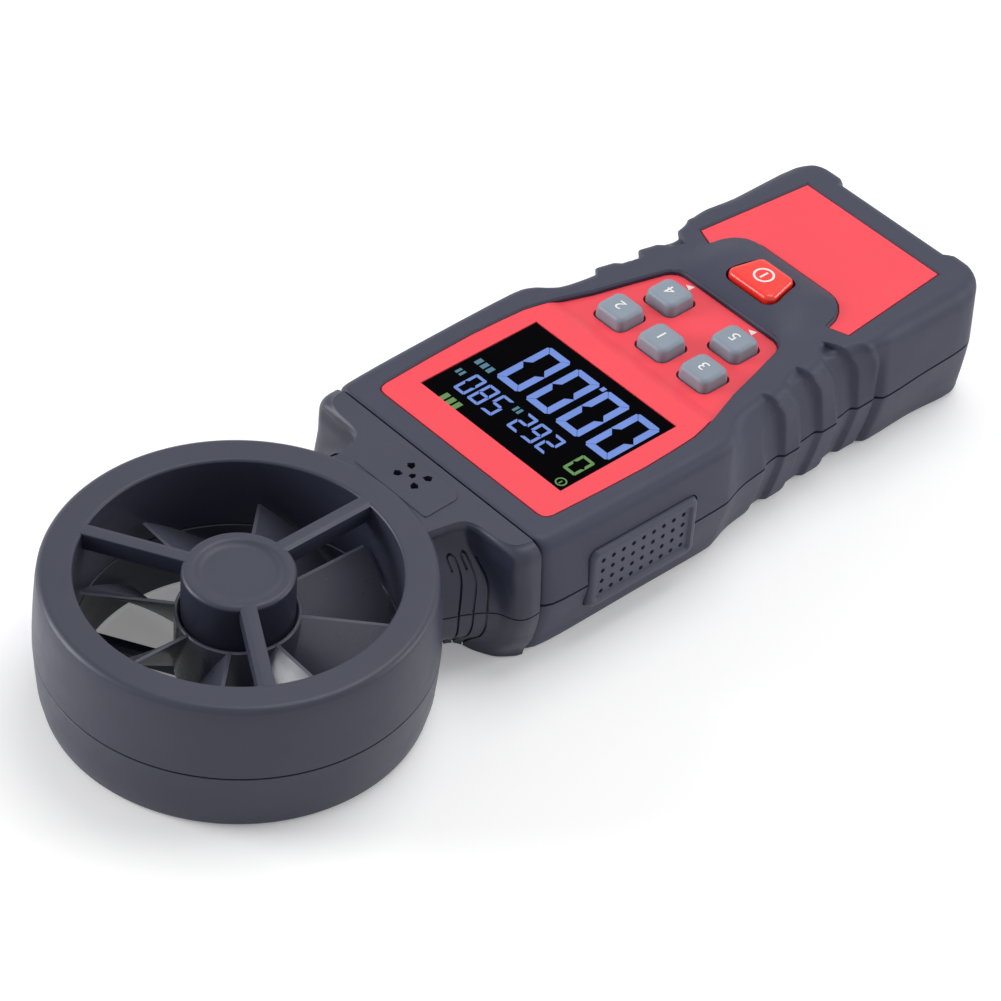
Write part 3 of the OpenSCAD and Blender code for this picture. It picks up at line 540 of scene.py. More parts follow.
shell_wall = 1.8
plate_top = 27.0
plate_gap = 0.12        # all round, between a red plate and the rubber
key_field = 26.2
front_case = prism(shell_loop, 13.27, 25.75, "red_front_shell")
plate = prism(grown_loop(plate_loop, -plate_gap), 24.6, plate_top, lip=0.25)
nameplate = prism(grown_loop(name_loop, -plate_gap), 24.6, plate_top, lip=0.25)
front_case = combined(front_case, [prism(grown_loop(shell_loop, -shell_wall), 12.0, 24.1)])
front_case = combined(front_case, [plate, nameplate], "UNION")
slope = ((44.6, 27.05), (45.0, 26.97), (45.6, 26.85), (47.3, 26.35), (47.9, 26.24), (48.5, key_field),
         (73.0, key_field), (73.0, 28.0), (44.6, 28.0))
sunk = extruded([[(x, joint - v, z) for v, z in slope] for x in (-30.0, 30.0)], "sunk")
holes = [prism(key_loop(x, v, 4.0, 3.75, 1.6), 20, 30) for x, v in key_places.values()]
front_case = combined(front_case, [sunk, *holes,
    prism(grown_loop(power_loop, 0.4), 20, 30),
    block(-18.4, 18.4, 12.2, 40.0, 25.4, 30), block(-17.2, 17.2, 13.4, 38.8, 20, 26),
    block(-12.2, 12.2, -1, 5, 12, 21.2), block(-4.1, 4.1, 108, 118, 16.5, 19.7)])
finished(front_case, red, "root", "red_shell", "front_case")


# Side pads: rubber pads set into both grips across the seam, each with a raised frame and a staggered field
# of round dimples for the fingers.
pad_rubber = moulded("pad_rubber", (0.050, 0.054, 0.086), 0.46, 0.2, 0.016, 0.08, Specular_IOR_Level=0.35)


def pad_outline(inset, r):
    return rounded([(10.7 + inset, 7.2 + inset, r), (36.2 - inset, 7.2 + inset, r),
                    (36.2 - inset, 20.3 - inset, r), (10.7 + inset, 20.3 - inset, r)], 5)


def side_pad(side, name):
    levels = ((26.7, 0.0, 1.7), (28.3, 0.0, 1.7), (28.9, 0.22, 1.6), (29.15, 0.5, 1.4), (29.25, 0.85, 1.1),
              (29.25, 1.35, 0.8), (29.15, 1.5, 0.7), (28.75, 1.8, 0.5), (28.7, 2.0, 0.4))
    pad = extruded([[(side * x, joint - v, z) for v, z in pad_outline(inset, r)]
                    for x, inset, r in levels], name)
    holes = bmesh.new()
    for row in range(4):
        for column in range(9):
            place = (side * 28.4, joint - 13.85 - 2.4 * column, 10.05 + 2.38 * row)
            facing = Matrix.Translation(place) @ Matrix.Rotation(side * math.pi / 2, 4, "Y")
            bmesh.ops.create_cone(holes, cap_ends=True, segments=16, radius1=0.4, radius2=0.52, depth=1.4,
                                  matrix=facing)
    return combined(pad, [solid(holes, "dimples")])


for side, label in ((-1, "left"), (1, "right")):
    for grip in (front_grip, rear_grip):
        recess = extruded([[(side * x, joint - v, z) for v, z in pad_outline(-0.25, 1.9)]
                           for x in (26.4, 31.0)], "recess")
        grip.modifiers.clear()
        combined(grip, [recess])
        grip.modifiers.new("normals", "WEIGHTED_NORMAL").keep_sharp = True
    pad = side_pad(side, label + "_side_pad")
    finished(pad, pad_rubber, "root", "grip_pad", "side_pad_" + label)


# Display: a black glossy lens set into the plate. Under it the lit cell shows plain seven-segment numbers
# and generic marks in blue, green and cyan.
lens = Finish("display_lens", Specular_IOR_Level=0.006)
haze = lens.noise(9.0, 4.0, 0.6)
dust = lens.noise(0.35, 2.0)
lens.drives("Base Color", lens.mix(haze, (0.0008, 0.0008, 0.0012, 1), (0.0022, 0.0022, 0.003, 1)))
lens.drives("Roughness", (0.06 + haze * 0.08 + (dust - 0.45).clipped() * 0.3).clipped())
lens.bump(haze, 0.01)
lens_half_w = 18.3
lens_head = joint - 12.3
lens_tail = joint - 39.9
lit_z = 26.88
window = prism([(-lens_half_w, lens_tail), (lens_half_w, lens_tail), (lens_half_w, lens_head),
                (-lens_half_w, lens_head)], 25.4, lit_z, "display_lens", lip=0.15)
finished(window, lens.material, "root", "window", "display_window")


def lit(name, colour, strength):
    made = Finish(name, Roughness=0.3, Emission_Strength=strength)
    cells = made.noise(0.3, 1.0)
    glow = made.noise(7.0, 2.0)
    shade = [c * 0.72 for c in colour] + [1.0]
    made.drives("Emission Color", made.mix((glow * 0.8 + cells * 0.4).clipped(), shade, list(colour) + [1.0]))
    made.drives("Base Color", made.mix(glow, (0.01, 0.01, 0.012, 1), (0.03, 0.03, 0.035, 1)))
    return made.material


segments = {"0": "abcdef", "2": "abdeg", "5": "acdfg", "6": "acdefg", "8": "abcdefg"}


def digit(bm, sign, x, y, w, h, t):
    """Seven mitred bars of one number, its lower left corner at x, y, standing up towards the head."""
    gap = min(0.06, t * 0.06)
    half = h / 2
    k = t * 0.2
    c = t * 0.4
    n = t * 0.8
    shapes = {
        "a": [(c / 2 + gap, h - c / 2), (t + gap, h - t), (w - t - gap, h - t),
              (w - c / 2 - gap, h - c / 2), (w - c, h), (c, h)],
        "d": [(c / 2 + gap, c / 2), (c, 0), (w - c, 0), (w - c / 2 - gap, c / 2), (w - t - gap, t),
              (t + gap, t)],
        "g": [(t * 0.5 + gap, half), (t + gap, half - t / 2), (w - t - gap, half - t / 2),
              (w - t * 0.5 - gap, half), (w - t - gap, half + t / 2), (t + gap, half + t / 2)],
        "f": [(c / 2, h - c / 2 - gap), (0, h - c), (0, half + gap), (k, half + gap), (t, half + n),
              (t, h - t - gap)],
        "b": [(w - c / 2, h - c / 2 - gap), (w - t, h - t - gap), (w - t, half + n), (w - k, half + gap),
              (w, half + gap), (w, h - c)],
        "e": [(c / 2, c / 2 + gap), (t, t + gap), (t, half - n), (k, half - gap), (0, half - gap), (0, c)],
        "c": [(w - c / 2, c / 2 + gap), (w, c), (w, half - gap), (w - k, half - gap), (w - t, half - n),
              (w - t, t + gap)]}
    for name in segments[sign]:
        bm.faces.new([bm.verts.new((x + px, y + py, lit_z)) for px, py in shapes[name]])


def bar(bm, x, y, w, h):
    corners = ((x, y), (x + w, y), (x + w, y + h), (x, y + h))
    bm.faces.new([bm.verts.new((a, b, lit_z)) for a, b in corners])


def ring(bm, x, y, r, t):
    place = Matrix.Translation((x, y, lit_z))
    outer = bmesh.ops.create_circle(bm, segments=24, radius=r, matrix=place)["verts"]
    inner = bmesh.ops.create_circle(bm, segments=24, radius=r - t, matrix=place)["verts"]
    edges = list({e for v in outer + inner for e in v.link_edges})
    bmesh.ops.bridge_loops(bm, edges=edges)


def raised(bm, name, by=0.03):
    """Flat marks given a thickness."""
    grown = bmesh.ops.extrude_face_region(bm, geom=bm.faces[:])["geom"]
    lifted = [g for g in grown if isinstance(g, bmesh.types.BMVert)]
    bmesh.ops.translate(bm, vec=(0, 0, by), verts=lifted)
    return solid(bm, name)


blue = bmesh.new()
for i, sign in enumerate("0000"):
    digit(blue, sign, -17.5 + i * 7.75, joint - 37.2, 6.0, 13.2, 1.45)
bar(blue, -3.4, joint - 37.2, 0.9, 1.1)
for i, sign in enumerate("262"):
    digit(blue, sign, -9.5 + i * 3.6, joint - 21.9, 2.85, 5.4, 0.62)
for i, sign in enumerate("580"):
    digit(blue, sign, 4.0 + i * 3.6, joint - 21.8, 2.85, 5.8, 0.62)
finished(raised(blue, "display_numbers_blue"), lit("lit_blue", (0.115, 0.24, 0.72), 1.0), "root", "lcd")
green = bmesh.new()
digit(green, "0", -16.9, joint - 21.9, 3.1, 5.1, 0.62)
ring(green, -16.6, joint - 14.0, 1.1, 0.28)
bar(green, -16.72, joint - 14.3, 0.24, 0.9)
for i in range(3):
    bar(green, 9.2 + i * 1.6, joint - 14.2, 1.1, 2.0)
finished(raised(green, "display_marks_green"), lit("lit_green", (0.09, 0.30, 0.025), 0.8), "root", "lcd")
cyan = bmesh.new()
for i in range(3):
    bar(cyan, 12.9 + i * 1.5, joint - 25.2, 1.0, 1.7)
for i in range(2):
    bar(cyan, 1.4 + i * 1.0, joint - 21.6, 0.6, 1.5)
    bar(cyan, 15.5 + i * 1.0, joint - 20.6, 0.6, 1.5)
finished(raised(cyan, "display_marks_cyan"), lit("lit_cyan", (0.03, 0.20, 0.30), 0.8), "root", "lcd")


# Keys: five pillow-topped caps of grey silicone rubber with a flange under the plate and a stem on the mat,
# and a white printed number on each.
key_rubber = moulded("key_rubber", (0.235, 0.285, 0.345), 0.45, 0.3, 0.012, 0.06, Specular_IOR_Level=0.4)
print_white = moulded("print_white", (0.82, 0.82, 0.82), 0.5, 0.2, 0.004, 0.05)


def printed(signs, x, v, z, size, name, body, stretch=1.0):
    """Printed characters a hair above a surface, made a mesh before they are set in place."""
    curve = bpy.data.curves.new(name, "FONT")
    curve.body = signs
    curve.size = size
    curve.align_x = "CENTER"
    curve.align_y = "CENTER"
    curve.extrude = 0.015
    carrier = bpy.data.objects.new(name, curve)
    bpy.context.scene.collection.objects.link(carrier)
    bpy.context.view_layer.update()
    ready = carrier.evaluated_get(bpy.context.evaluated_depsgraph_get())
    mesh = bpy.data.meshes.new_from_object(ready)
    bpy.data.objects.remove(carrier)
    bm = bmesh.new()
    bm.from_mesh(mesh)
    bpy.data.meshes.remove(mesh)
    bmesh.ops.scale(bm, vec=(stretch, 1, 1), verts=bm.verts)
    bmesh.ops.translate(bm, vec=(x, joint - v, z), verts=bm.verts)
    made = solid(bm, name)
    return finished(made, print_white, body, "key")


# Height, half width, half length and corner radius of a key: stem, flange, sides and pillow
key_levels = ((20.0, 2.25, 2.0, 0.6), (22.6, 2.25, 2.0, 0.6), (22.6, 4.65, 4.4, 1.6), (23.8, 4.65, 4.4, 1.6),
              (23.8, 3.65, 3.4, 1.3), (26.9, 3.6, 3.35, 1.35), (27.9, 3.48, 3.23, 1.45),
              (28.3, 3.3, 3.05, 1.45), (28.58, 3.02, 2.77, 1.35), (28.74, 2.6, 2.35, 1.15),
              (28.82, 2.0, 1.8, 0.9), (28.86, 1.2, 1.1, 0.5))
for number, (name, (x, v)) in enumerate(key_places.items(), 1):
    cap = [[(px, py, z) for px, py in key_loop(x, v, half_w, half_l, r)]
           for z, half_w, half_l, r in key_levels]
    body = name + "_body"
    finished(extruded(cap, name + "_cap"), key_rubber, body, "key", name, angle=50)
    printed(str(number), x, v, 28.88, 3.2, name + "_number", body, 1.15)


marks = bmesh.new()
for x, y in ((8.5, joint - 69.6), (-7.9, joint - 69.6)):
    corners = ((x, y - 0.75), (x + 1.5, y), (x, y + 0.75))
    marks.faces.new([marks.verts.new((a, b, key_field + 0.01)) for a, b in corners])
finished(raised(marks, "plate_marks", 0.02), print_white, "root", "red_shell")


# Power key: one moulding of glossy red hard plastic in the dome, with a flange under the shell and a stem
# on the mat. A white ring and bar are printed on it.
gloss_red = moulded("power_key_plastic", (0.90, 0.022, 0.012), 0.25, 0.6, 0.006, 0.04, Coat_Weight=0.15,
                    Coat_Roughness=0.12)
power_top = 30.06
power_middle = joint - 79.2


def shrunk(z, share):
    """The power key's outline drawn towards its middle."""
    return [(x * share, power_middle + (y - power_middle) * share, z) for x, y in power_loop]


power_levels = [shrunk(20.0, 0.45), shrunk(22.6, 0.45)]
for z, by in ((22.6, 0.85), (23.8, 0.85), (23.8, 0.0), (29.0, -0.05), (29.5, -0.2), (29.8, -0.5),
              (29.97, -0.9)):
    power_levels.append([(x, y, z) for x, y in grown_loop(power_loop, by)])
power_levels += [shrunk(30.04, 0.6), shrunk(power_top, 0.3)]
power_key = extruded(power_levels, "power_key_cap")
finished(power_key, gloss_red, "power_key_body", "power_key", "power_key", angle=50)
mark = bmesh.new()
ring(mark, 0, joint - 79.3, 2.05, 0.42)
bar(mark, -0.2, joint - 80.3, 0.4, 2.0)
bmesh.ops.translate(mark, vec=(0, 0, power_top - lit_z), verts=mark.verts)
finished(raised(mark, "power_key_mark", 0.025), print_white, "power_key_body", "power_key")


# Front half of the head: one dark moulding of the ring, three flat spokes with the hub cap, and the neck
# with its air holes, sensor wall, corner wings and tongue.
head_plastic = moulded("head_plastic", (0.026, 0.029, 0.052), 0.42, 0.25, 0.014, 0.08,
                       Specular_IOR_Level=0.4)
ring_y = 62.75


def spun(profile, name, count=160):
    """A ring or disc from a closed half section in radius and height, turned about the vane's axis."""
    bm = bmesh.new()
    verts = [bm.verts.new((r, ring_y, z)) for r, z in profile]
    edges = [bm.edges.new((a, b)) for a, b in zip(verts, verts[1:] + verts[:1])]
    bmesh.ops.spin(bm, geom=verts + edges, cent=(0, ring_y, 0), axis=(0, 0, 1), angle=2 * math.pi,
                   steps=count, use_merge=True)
    return solid(bm, name)


def bent(centre_r, centre_z, radius, start, end, count=5):
    """Points of an arc in a half section."""
    return [(centre_r + radius * math.cos(math.radians(a)), centre_z + radius * math.sin(math.radians(a)))
            for a in steps(start, end, count)]


def about_vane(flat, a, z):
    """An outline given along and across a ray from the vane's axis, turned by a."""
    return [(r * math.cos(a) - t * math.sin(a), ring_y + r * math.sin(a) + t * math.cos(a), z)
            for r, t in flat]


front_ring = spun(
    [(28.0, 12.78), (27.8, 12.95), (27.8, 26.9)]
    + bent(28.4, 26.9, 0.6, 180, 90, 4) + bent(32.6, 26.0, 1.5, 90, 20, 6)
    + [(34.25, 24.8), (34.45, 22), (34.65, 18.5), (34.8, 15), (34.82, 12.9), (34.74, 12.8), (33.0, 12.8),
       (32.8, 25.4), (29.6, 25.4), (29.6, 12.78)], "vane_head_front", 192)
hub = spun(
    [(0, 26.85), (5.9, 26.85), (6.5, 26.9), (6.9, 27.02), (7.3, 27.25), (7.6, 27.42), (8.0, 27.5)]
    + bent(8.9, 26.6, 0.9, 90, 0, 6)
    + [(9.8, 17.5), (2.6, 17.5), (2.6, 20.3), (0, 20.3)], "hub", 96)
spoke_turns = [math.radians(turn) for turn in (30, 150, 270)]
spoke_start = 9.0
spoke_end = 28.3


def spoke(a, levels, name):
    """A spoke at turn a, from its height and its half widths to the left and right at each level."""
    return extruded([about_vane([(spoke_start, -left), (spoke_end, -left), (spoke_end, right),
                                 (spoke_start, right)], a, z) for z, left, right in levels], name)


spokes = [spoke(a, ((23.5, 0.9, 0.9), (24.5, 1.45, 1.5), (26.4, 1.5, 1.5), (27.2, 1.35, 1.5),
                    (27.42, 0.75, 1.42), (27.5, 0.5, 1.2)), "spoke") for a in spoke_turns]

# Right outline of the neck at each height, from inside the ring to the case: eleven points (x, y) a level
neck_levels = (
    (0.3, ((13.2, 34), (13.8, 30.4), (14.2, 28.3), (15.0, 26.6), (16.4, 25.6), (18.2, 25.1), (20.0, 24.3),
           (22.2, 23.0), (23.8, 21.0), (24.6, 19.6), (24.8, 18.8))),
    (6.0, ((16.8, 34), (17.6, 31), (18.6, 28.6), (19.7, 26.7), (21.0, 25.2), (22.6, 24.1), (24.4, 23.2),
           (25.8, 22.3), (26.6, 21.0), (26.9, 19.8), (27.0, 18.8))),
    (12.7, ((18.6, 34), (19.6, 31.8), (20.6, 29.4), (21.6, 27.5), (22.6, 26.0), (24.2, 24.5), (26.0, 23.8),
            (27.2, 23.1), (27.9, 22.1), (28.2, 20.6), (28.1, 18.8))),
    (17.5, ((16.2, 34), (17.2, 31), (18.2, 28.6), (19.4, 26.4), (20.8, 24.9), (22.8, 24.2), (25.0, 23.8),
            (26.7, 23.0), (27.5, 21.9), (27.9, 20.5), (27.9, 18.8))),
    (22.4, ((12.6, 34), (12.8, 31), (13.3, 28), (14.0, 25.6), (15.0, 24.3), (17.5, 23.9), (21.0, 23.8),
            (25.0, 23.6), (26.8, 22.6), (27.5, 20.9), (27.6, 18.8))),
    (24.4, ((11.7, 34), (11.9, 31), (12.3, 28), (13.0, 25.6), (14.2, 24.0), (17.0, 23.4), (21.0, 23.5),
            (25.0, 23.5), (26.7, 22.6), (27.4, 20.9), (27.5, 18.8))),
    (25.3, ((11.8, 34), (12.0, 31), (12.4, 28), (13.1, 25.6), (14.3, 24.0), (17.0, 23.4), (21.0, 23.5),
            (25.0, 23.4), (26.5, 22.5), (27.2, 20.9), (27.3, 18.8))),
    (25.7, ((12.4, 34), (12.6, 31), (13.2, 28.3), (13.9, 25.9), (14.9, 24.6), (17.0, 23.9), (21.0, 23.8),
            (24.8, 23.4), (26.3, 22.4), (27.0, 20.8), (27.1, 18.8))),
    (26.5, ((12.4, 34), (12.6, 31), (13.2, 28.3), (13.9, 25.9), (14.9, 24.6), (17.0, 23.9), (21.0, 23.7),
            (24.4, 23.0), (25.7, 22.0), (26.3, 20.6), (26.4, 18.8))),
    (27.2, ((12.2, 34), (12.4, 31), (13.0, 28.2), (13.6, 25.7), (14.7, 24.3), (17.0, 23.5), (21.0, 23.2),
            (23.5, 22.4), (24.4, 21.4), (24.8, 20.2), (24.9, 18.8))))


def neck_spot(z, t):
    """Point t (0 in the ring to 10 at the joint) of the neck's right outline at one height."""
    nearest = min(max(math.floor(t), 0), 9)
    columns = []
    for i in range(max(nearest - 1, 0), min(nearest + 3, 11)):
        columns.append((i, eased([(h, row[i][0]) for h, row in neck_levels], z),
                        eased([(h, row[i][1]) for h, row in neck_levels], z)))
    return (eased([c[:2] for c in columns], t), eased([(c[0], c[2]) for c in columns], t))


def neck(levels, name):
    sections = []
    for z in levels:
        half = [neck_spot(z, t) for t in steps(0, 10, 60)]
        sections.append([(x, y, z) for x, y in half] + [(-x, y, z) for x, y in reversed(half)])
    return extruded(sections, name)


groove_half_w = 0.2
groove_depth = 0.7


def neck_groove(places, name):
    """A narrow slot that follows the neck's side through places (height, t), on both sides."""
    cutters = []
    for side in (1, -1):
        sections = []
        path = []
        for z, t in places:
            x, y = neck_spot(z, t)
            path.append(Vector((x, y, z)))
        z, t = places[len(places) // 2]
        a = Vector(neck_spot(z, t + 0.1) + (z,)) - Vector(neck_spot(z, t - 0.1) + (z,))
        out = Vector((-a.y, a.x, 0)).normalized()
        if out.x < 0:
            out = -out
        for i, here in enumerate(path):
            run = path[min(i + 1, len(path) - 1)] - path[max(i - 1, 0)]
            wide = run.cross(out).normalized() * groove_half_w
            low = here - out * groove_depth
            high = here + out * 1.2
            corners = (low - wide, high - wide, high + wide, low + wide)
            sections.append([(side * c.x, c.y, c.z) for c in corners])
        cutters.append(extruded(sections, name))
    return cutters


front_neck = neck([12.8, 14, 15.5, 17, 18, 19, 20, 21, 22, 22.6, 23.2, 23.8, 24.3, 24.8, 25.2, 25.5, 25.75,
                   26.1, 26.5, 26.8, 27.05, 27.2], "front_neck")
# Three grooves a side: where each runs at the seam, at its top and at the neck's foot
groove_lines = ((1.58, 2.3, 2.1), (2.7, 3.3, 3.0), (4.0, 4.25, 4.0))
groove_seam = 12.7
bore = spun([(0, 10), (33.0, 10), (33.0, 30), (0, 30)], "bore", 96)
slots = []
for number, (middle, top, _) in enumerate(groove_lines):
    hook = [(19.2, top - 0.52), (20.2, top - 0.52), (20.9, top - 0.5), (21.25, top - 0.4),
            (21.38, top - 0.25), (21.25, top - 0.1)]
    course = [(20.9, top)] if number == 2 else hook + [(20.9, top)]
    for z in (20, 18.8, 17.5, 16, 14.5, 13.2, 12.0):
        course.append((z, middle + (top - middle) * rise((z - groove_seam) / 7.4)))
    slots += neck_groove(course, "slot")
room_half_w = 10.4
front_neck = combined(front_neck, [bore, block(-room_half_w, room_half_w, -12, -1.8, 12, 25.0), *slots])
pad_loop = rounded([(9.4, 29.5, 0.5), (9.2, 21.9, 1.4), (7.6, 20.8, 1.2), (-7.6, 20.8, 1.2),
                    (-9.2, 21.9, 1.4), (-9.4, 29.5, 0.5)], 4)
neck_pad = prism(pad_loop, 25.5, 27.45, "neck_pad", lip=0.2)
tongue = block(-12, 12, -0.4, 5.9, 12.8, 21.0, "tongue")
head_front = combined(front_ring, [hub, *spokes, front_neck, neck_pad, tongue], "UNION")
hole_y = 24.15          # middle one of the five air holes
hole_shape = ((-0.9, 0.0), (-0.15, -0.72), (0.8, -0.62), (0.8, 0.62), (-0.15, 0.72))
air_holes = []
for x, y in ((0, 0), (2.1, 1.5), (-2.1, 1.5), (2.1, -1.5), (-2.1, -1.5)):
    facing = math.atan2(y, x) if x else math.pi / 2
    size = 1.0 if x else 0.8
    loop = [(x + size * (a * math.cos(facing) - b * math.sin(facing)),
             hole_y + y + size * (a * math.sin(facing) + b * math.cos(facing))) for a, b in hole_shape]
    air_holes.append(prism(loop, 24, 30))
head_front = combined(head_front, air_holes)
finished(head_front, head_plastic, "root", "head", "head_front")


# Rear half of the head: the lower half of the ring and neck, with three rear spokes, the bearing hub and
# screw wells.
rear_top = 12.54
rear_ring = spun(
    [(27.8, 0.5), (28.3, 0.0)] + bent(32.0, 1.6, 1.6, -90, -15, 5)
    + [(34.2, 4.0), (34.55, 8.0), (34.8, 12.2), (34.82, 12.44), (34.74, rear_top), (33.0, rear_top),
       (32.2, 1.8), (29.6, 1.8), (29.6, rear_top), (28.0, rear_top), (27.8, 12.4)], "vane_head_rear", 192)
rear_hub = spun([(0, 0), (9.4, 0), (9.8, 0.4), (9.8, 4.5), (8.4, 4.5), (8.4, 1.2), (3.4, 1.2), (3.4, 4.5),
                 (2.6, 4.5), (2.6, 1.8), (0, 1.8)], "rear_hub", 96)
rear_spokes = [spoke(a, ((0.0, 1.2, 1.2), (0.3, 1.5, 1.5), (2.4, 1.5, 1.5), (3.0, 0.9, 0.9)), "rear_spoke")
               for a in spoke_turns]
rear_neck = neck([0.3, 0.6, 1.1, 1.8, 2.8, 4, 5.5, 7, 8.5, 10, 11.5, 12.2, rear_top], "rear_neck")
slots = []
for middle, _, foot in groove_lines:
    slots += neck_groove([(z, foot + (middle - foot) * rise(z / groove_seam))
                          for z in (13.5, 12, 10.5, 9, 7, 5, 3, 1, 0.3)], "slot")
bore = spun([(0, -2), (31.6, -2), (33.0, 13), (0, 13)], "bore", 96)
rear_neck = combined(rear_neck, [bore, block(-room_half_w, room_half_w, -12, -1.8, 3, 13), *slots])
rear_tongue = block(-12, 12, -0.3, 5.9, 5.0, rear_top, "rear_tongue")
head_rear = combined(rear_ring, [rear_hub, *rear_spokes, rear_neck, rear_tongue], "UNION")
well_ring_r = 30.4
wells = [(well_ring_r * math.cos(a), ring_y + well_ring_r * math.sin(a))
         for a in [math.radians(turn) for turn in (90, 210, 330)]]
wells += [(17.0, 21.2), (-17.0, 21.2)]
cuts = []
for x, y in wells:
    for r, top in ((1.95, 1.9), (1.12, 13.5)):
        loop = [(x + r * math.cos(t), y + r * math.sin(t))
                for t in [math.radians(turn) for turn in range(0, 360, 15)]]
        cuts.append(prism(loop, -1, top))
head_rear = combined(head_rear, cuts)
finished(head_rear, head_plastic, "root", "head", "head_rear")


# Vane wheel: a light moulding of dark plastic, with eight thin pitched blades on a cup-shaped hub. It is
# pressed on the shaft, which turns in the bearings of both halves of the head.
vane_plastic = moulded("vane_plastic", (0.085, 0.090, 0.125), 0.30, 0.4, 0.008, 0.08)
wheel = spun([(0.76, 16.5), (3.0, 16.5), (3.0, 15.2), (9.3, 15.2), (9.9, 17.1), (10.2, 17.4), (10.2, 18.1),
              (10.4, 18.3), (10.7, 18.3), (10.9, 18.1), (10.9, 5.4), (10.7, 5.2), (9.9, 5.2), (9.7, 13.6),
              (9.4, 13.9), (3.0, 13.9), (3.0, 9.2), (0.76, 9.2)], "impeller", 120)
blade_low = 4.9
blade_high = 18.3
blade_root = 10.6
blade_tip = 27.05
blade_twist = 39         # degrees from the top of a blade to its foot
blades = []
for number in range(8):
    loops = []
    for z in steps(blade_low, blade_high, 16):
        share = (blade_high - z) / 13.4
        a = math.radians(-2 + 45 * number - blade_twist * share)
        half = 0.75 * (0.35 + 0.65 * math.sin(math.pi * min(max(share, 0.02), 0.98)) ** 0.6)
        flat = [(blade_root, -half), (blade_tip, -half * 0.8), (blade_tip, half * 0.8), (blade_root, half)]
        loops.append(about_vane(flat, a, z))
    blades.append(extruded(loops, "blade"))
wheel = combined(wheel, blades, "UNION")
finished(wheel, vane_plastic, "vane", "vane", "vane_wheel", angle=40)


# Rear shell and battery door: mouldings of hard dark plastic, seen from the back. Four screws hold the
# shell to the front one, and the door hooks into it over the three cells.
shell_plastic = moulded("shell_plastic", (0.036, 0.038, 0.052), 0.46, 0.3, 0.016, 0.08,
                        Specular_IOR_Level=0.4)
for name in ("rear_case", "battery_door"):
    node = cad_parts[name]
    node.data.materials.clear()
    node.data.materials.append(shell_plastic)


# Inside and fixings: circuit boards, batteries, springs, screws, bearings and the small parts of the head,
# each shown as the CAD has it with its own finish.
def metal(name, colour, roughness, stretch=(1.0, 6.0, 1.0)):
    made = Finish(name, Metallic=1.0)
    brushed = made.noise(0.4, 3.0, 0.6, stretch)
    stain = made.noise(4.0, 4.0, 0.6)
    made.drives("Base Color", made.mix(stain, [c * 0.8 for c in colour] + [1.0], list(colour) + [1.0]))
    made.drives("Roughness", (roughness + (brushed - 0.5) * 0.2 + (stain - 0.5) * 0.15).clipped())
    made.bump(brushed, 0.006)
    return made.material


inside = {
    "circuit_board": (moulded("board_green", (0.01, 0.10, 0.045), 0.35, 0.5, 0.02), "main_board",
                      "sensor_board", "pickup_board"),
    "connector": (moulded("connector_cream", (0.75, 0.70, 0.58), 0.45), "board_connector"),
    "chip": (moulded("chip_black", (0.012, 0.012, 0.013), 0.5), "controller_chip", "buzzer"),
    "socket_steel": (metal("socket_tin", (0.62, 0.62, 0.63), 0.3), "usb_socket"),
    "switch_steel": (metal("dome_steel", (0.66, 0.66, 0.66), 0.25), "key_switches"),
    "key_mat": (moulded("mat_silicone", (0.42, 0.44, 0.46), 0.5), "keypad_mat"),
    "lcd": (moulded("cell_black", (0.006, 0.006, 0.008), 0.2), "lcd_panel"),
    "diffuser": (moulded("diffuser_white", (0.8, 0.82, 0.85), 0.4), "backlight"),
    "inner_frame": (moulded("frame_black", (0.02, 0.02, 0.022), 0.5), "lcd_frame"),
    "battery": (moulded("battery_sleeve", (0.02, 0.08, 0.22), 0.3, 0.4, 0.01), "battery_1", "battery_2",
                "battery_3"),
    "contact": (metal("contact_nickel", (0.62, 0.58, 0.48), 0.3), "battery_contacts"),
    "spring_steel": (metal("spring_nickel", (0.6, 0.6, 0.62), 0.28), "battery_springs"),
    "brass": (metal("brass", (0.70, 0.48, 0.20), 0.3), "tripod_bush", "front_bearing", "rear_bearing"),
    "screw_steel": (metal("screw_zinc", (0.56, 0.57, 0.60), 0.35), "case_screws", "board_screws",
                    "head_screws"),
    "sensor": (moulded("sensor_white", (0.7, 0.72, 0.74), 0.4), "humidity_sensor"),
    "ribbon": (moulded("ribbon_grey", (0.38, 0.40, 0.44), 0.45), "head_cable"),
    "shaft_steel": (metal("shaft_steel", (0.6, 0.6, 0.62), 0.2), "vane_shaft"),
    "magnet": (metal("magnet_nickel", (0.3, 0.3, 0.31), 0.4), "rotor_magnet")}
for slot_name, (material, *names) in inside.items():
    for name in names:
        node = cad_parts[name]
        node.data.materials.clear()
        node.data.materials.append(material)


# Stage: a pale floor that fades into a white background, soft studio lamps above, and the camera.
floor_mesh = bmesh.new()
bmesh.ops.create_grid(floor_mesh, x_segments=1, y_segments=1, size=3000)
floor = solid(floor_mesh, "floor")
floor.data.transform(Matrix.Translation((0, 0, -0.00005)))
paper = Finish("paper", Emission_Strength=0.2)
fibre = paper.noise(2.0, 4.0)
paper.drives("Base Color", paper.mix(fibre, (0.93, 0.93, 0.935, 1), (0.96, 0.96, 0.965, 1)))
paper.drives("Emission Color", paper.mix(fibre, (0.98, 0.98, 0.98, 1), (1, 1, 1, 1)))
paper.drives("Roughness", (0.75 + (fibre - 0.5) * 0.1).clipped())
floor.data.materials.append(paper.material)


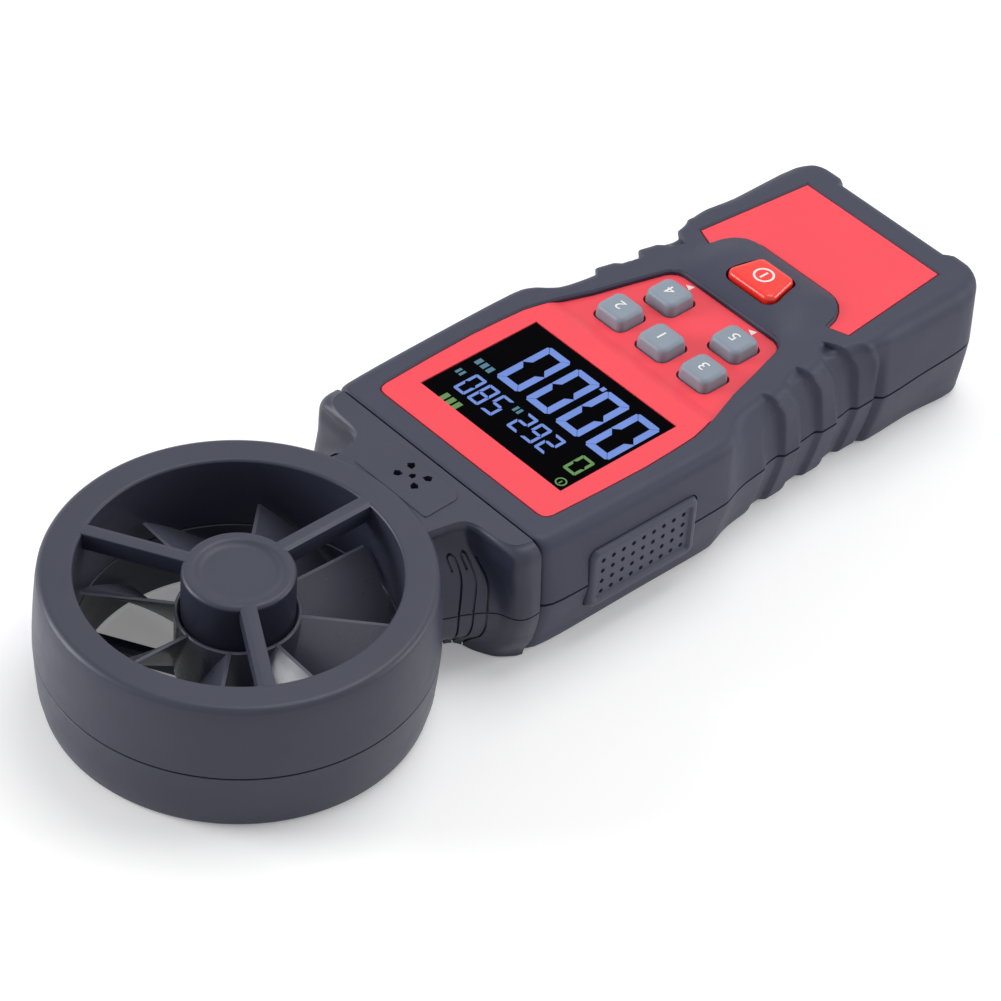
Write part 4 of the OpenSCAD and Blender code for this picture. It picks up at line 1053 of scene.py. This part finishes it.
def lamp(name, place, aim, size, power, tint=(1, 1, 1)):
    data = bpy.data.lights.new(name, "AREA")
    data.shape = "DISK"
    data.size = size
    data.energy = power
    data.color = tint
    made = bpy.data.objects.new(name, data)
    bpy.context.scene.collection.objects.link(made)
    made.location = place
    made.rotation_mode = "QUATERNION"
    made.rotation_quaternion = (Vector(aim) - Vector(place)).to_track_quat("-Z", "Y")


lamp("top_lamp", (0.05, -0.30, 0.80), (0, 0, 0), 0.6, 3.0)
lamp("left_lamp", (0.62, 0.62, 0.30), (0, 0.03, 0.01), 0.45, 5.4)
lamp("right_lamp", (-0.50, -0.75, 0.35), (0, 0, 0.01), 0.45, 2.4)

world = bpy.data.worlds.new("studio")
bpy.context.scene.world = world
world.use_nodes = True
sky = world.node_tree
sky_shader = sky.nodes["Background"]
rays = sky.nodes.new("ShaderNodeLightPath")
seen = (Value(sky, rays.outputs["Is Camera Ray"]) + Value(sky, rays.outputs["Is Glossy Ray"])
        + Value(sky, rays.outputs["Is Transmission Ray"]))
ambient = 0.42
amount = ambient + seen.clipped() * 0.62
sky.links.new(amount.socket, sky_shader.inputs["Strength"])
sky_shader.inputs["Color"].default_value = (1.0, 1.0, 1.0, 1.0)

scene = bpy.context.scene
scene.view_settings.view_transform = "Standard"
azimuth, elevation, roll = (math.radians(a) for a in (225.25, 41.55, -4.38))
back = Vector((math.sin(azimuth) * math.cos(elevation), -math.cos(azimuth) * math.cos(elevation),
               math.sin(elevation)))
across = (-back).cross(Vector((0, 0, 1))).normalized()
down = (-back).cross(across)
right = math.cos(roll) * across + math.sin(roll) * down
up = math.sin(roll) * across - math.cos(roll) * down
target = Vector((-0.022657, 0.025754, 0.038732))
distance = 0.706411
sensor = 36.0
camera_data = bpy.data.cameras.new("camera")
camera_data.sensor_width = sensor
camera_data.lens = 4213.7 / 1001 * sensor
camera_data.shift_x = 0.0034
camera_data.shift_y = -0.0011
camera_data.clip_start = 0.05
camera = bpy.data.objects.new("camera", camera_data)
scene.collection.objects.link(camera)
turned = Matrix((right, up, back)).transposed()
camera.matrix_world = Matrix.Translation(target + back * distance) @ turned.to_4x4()
scene.camera = camera
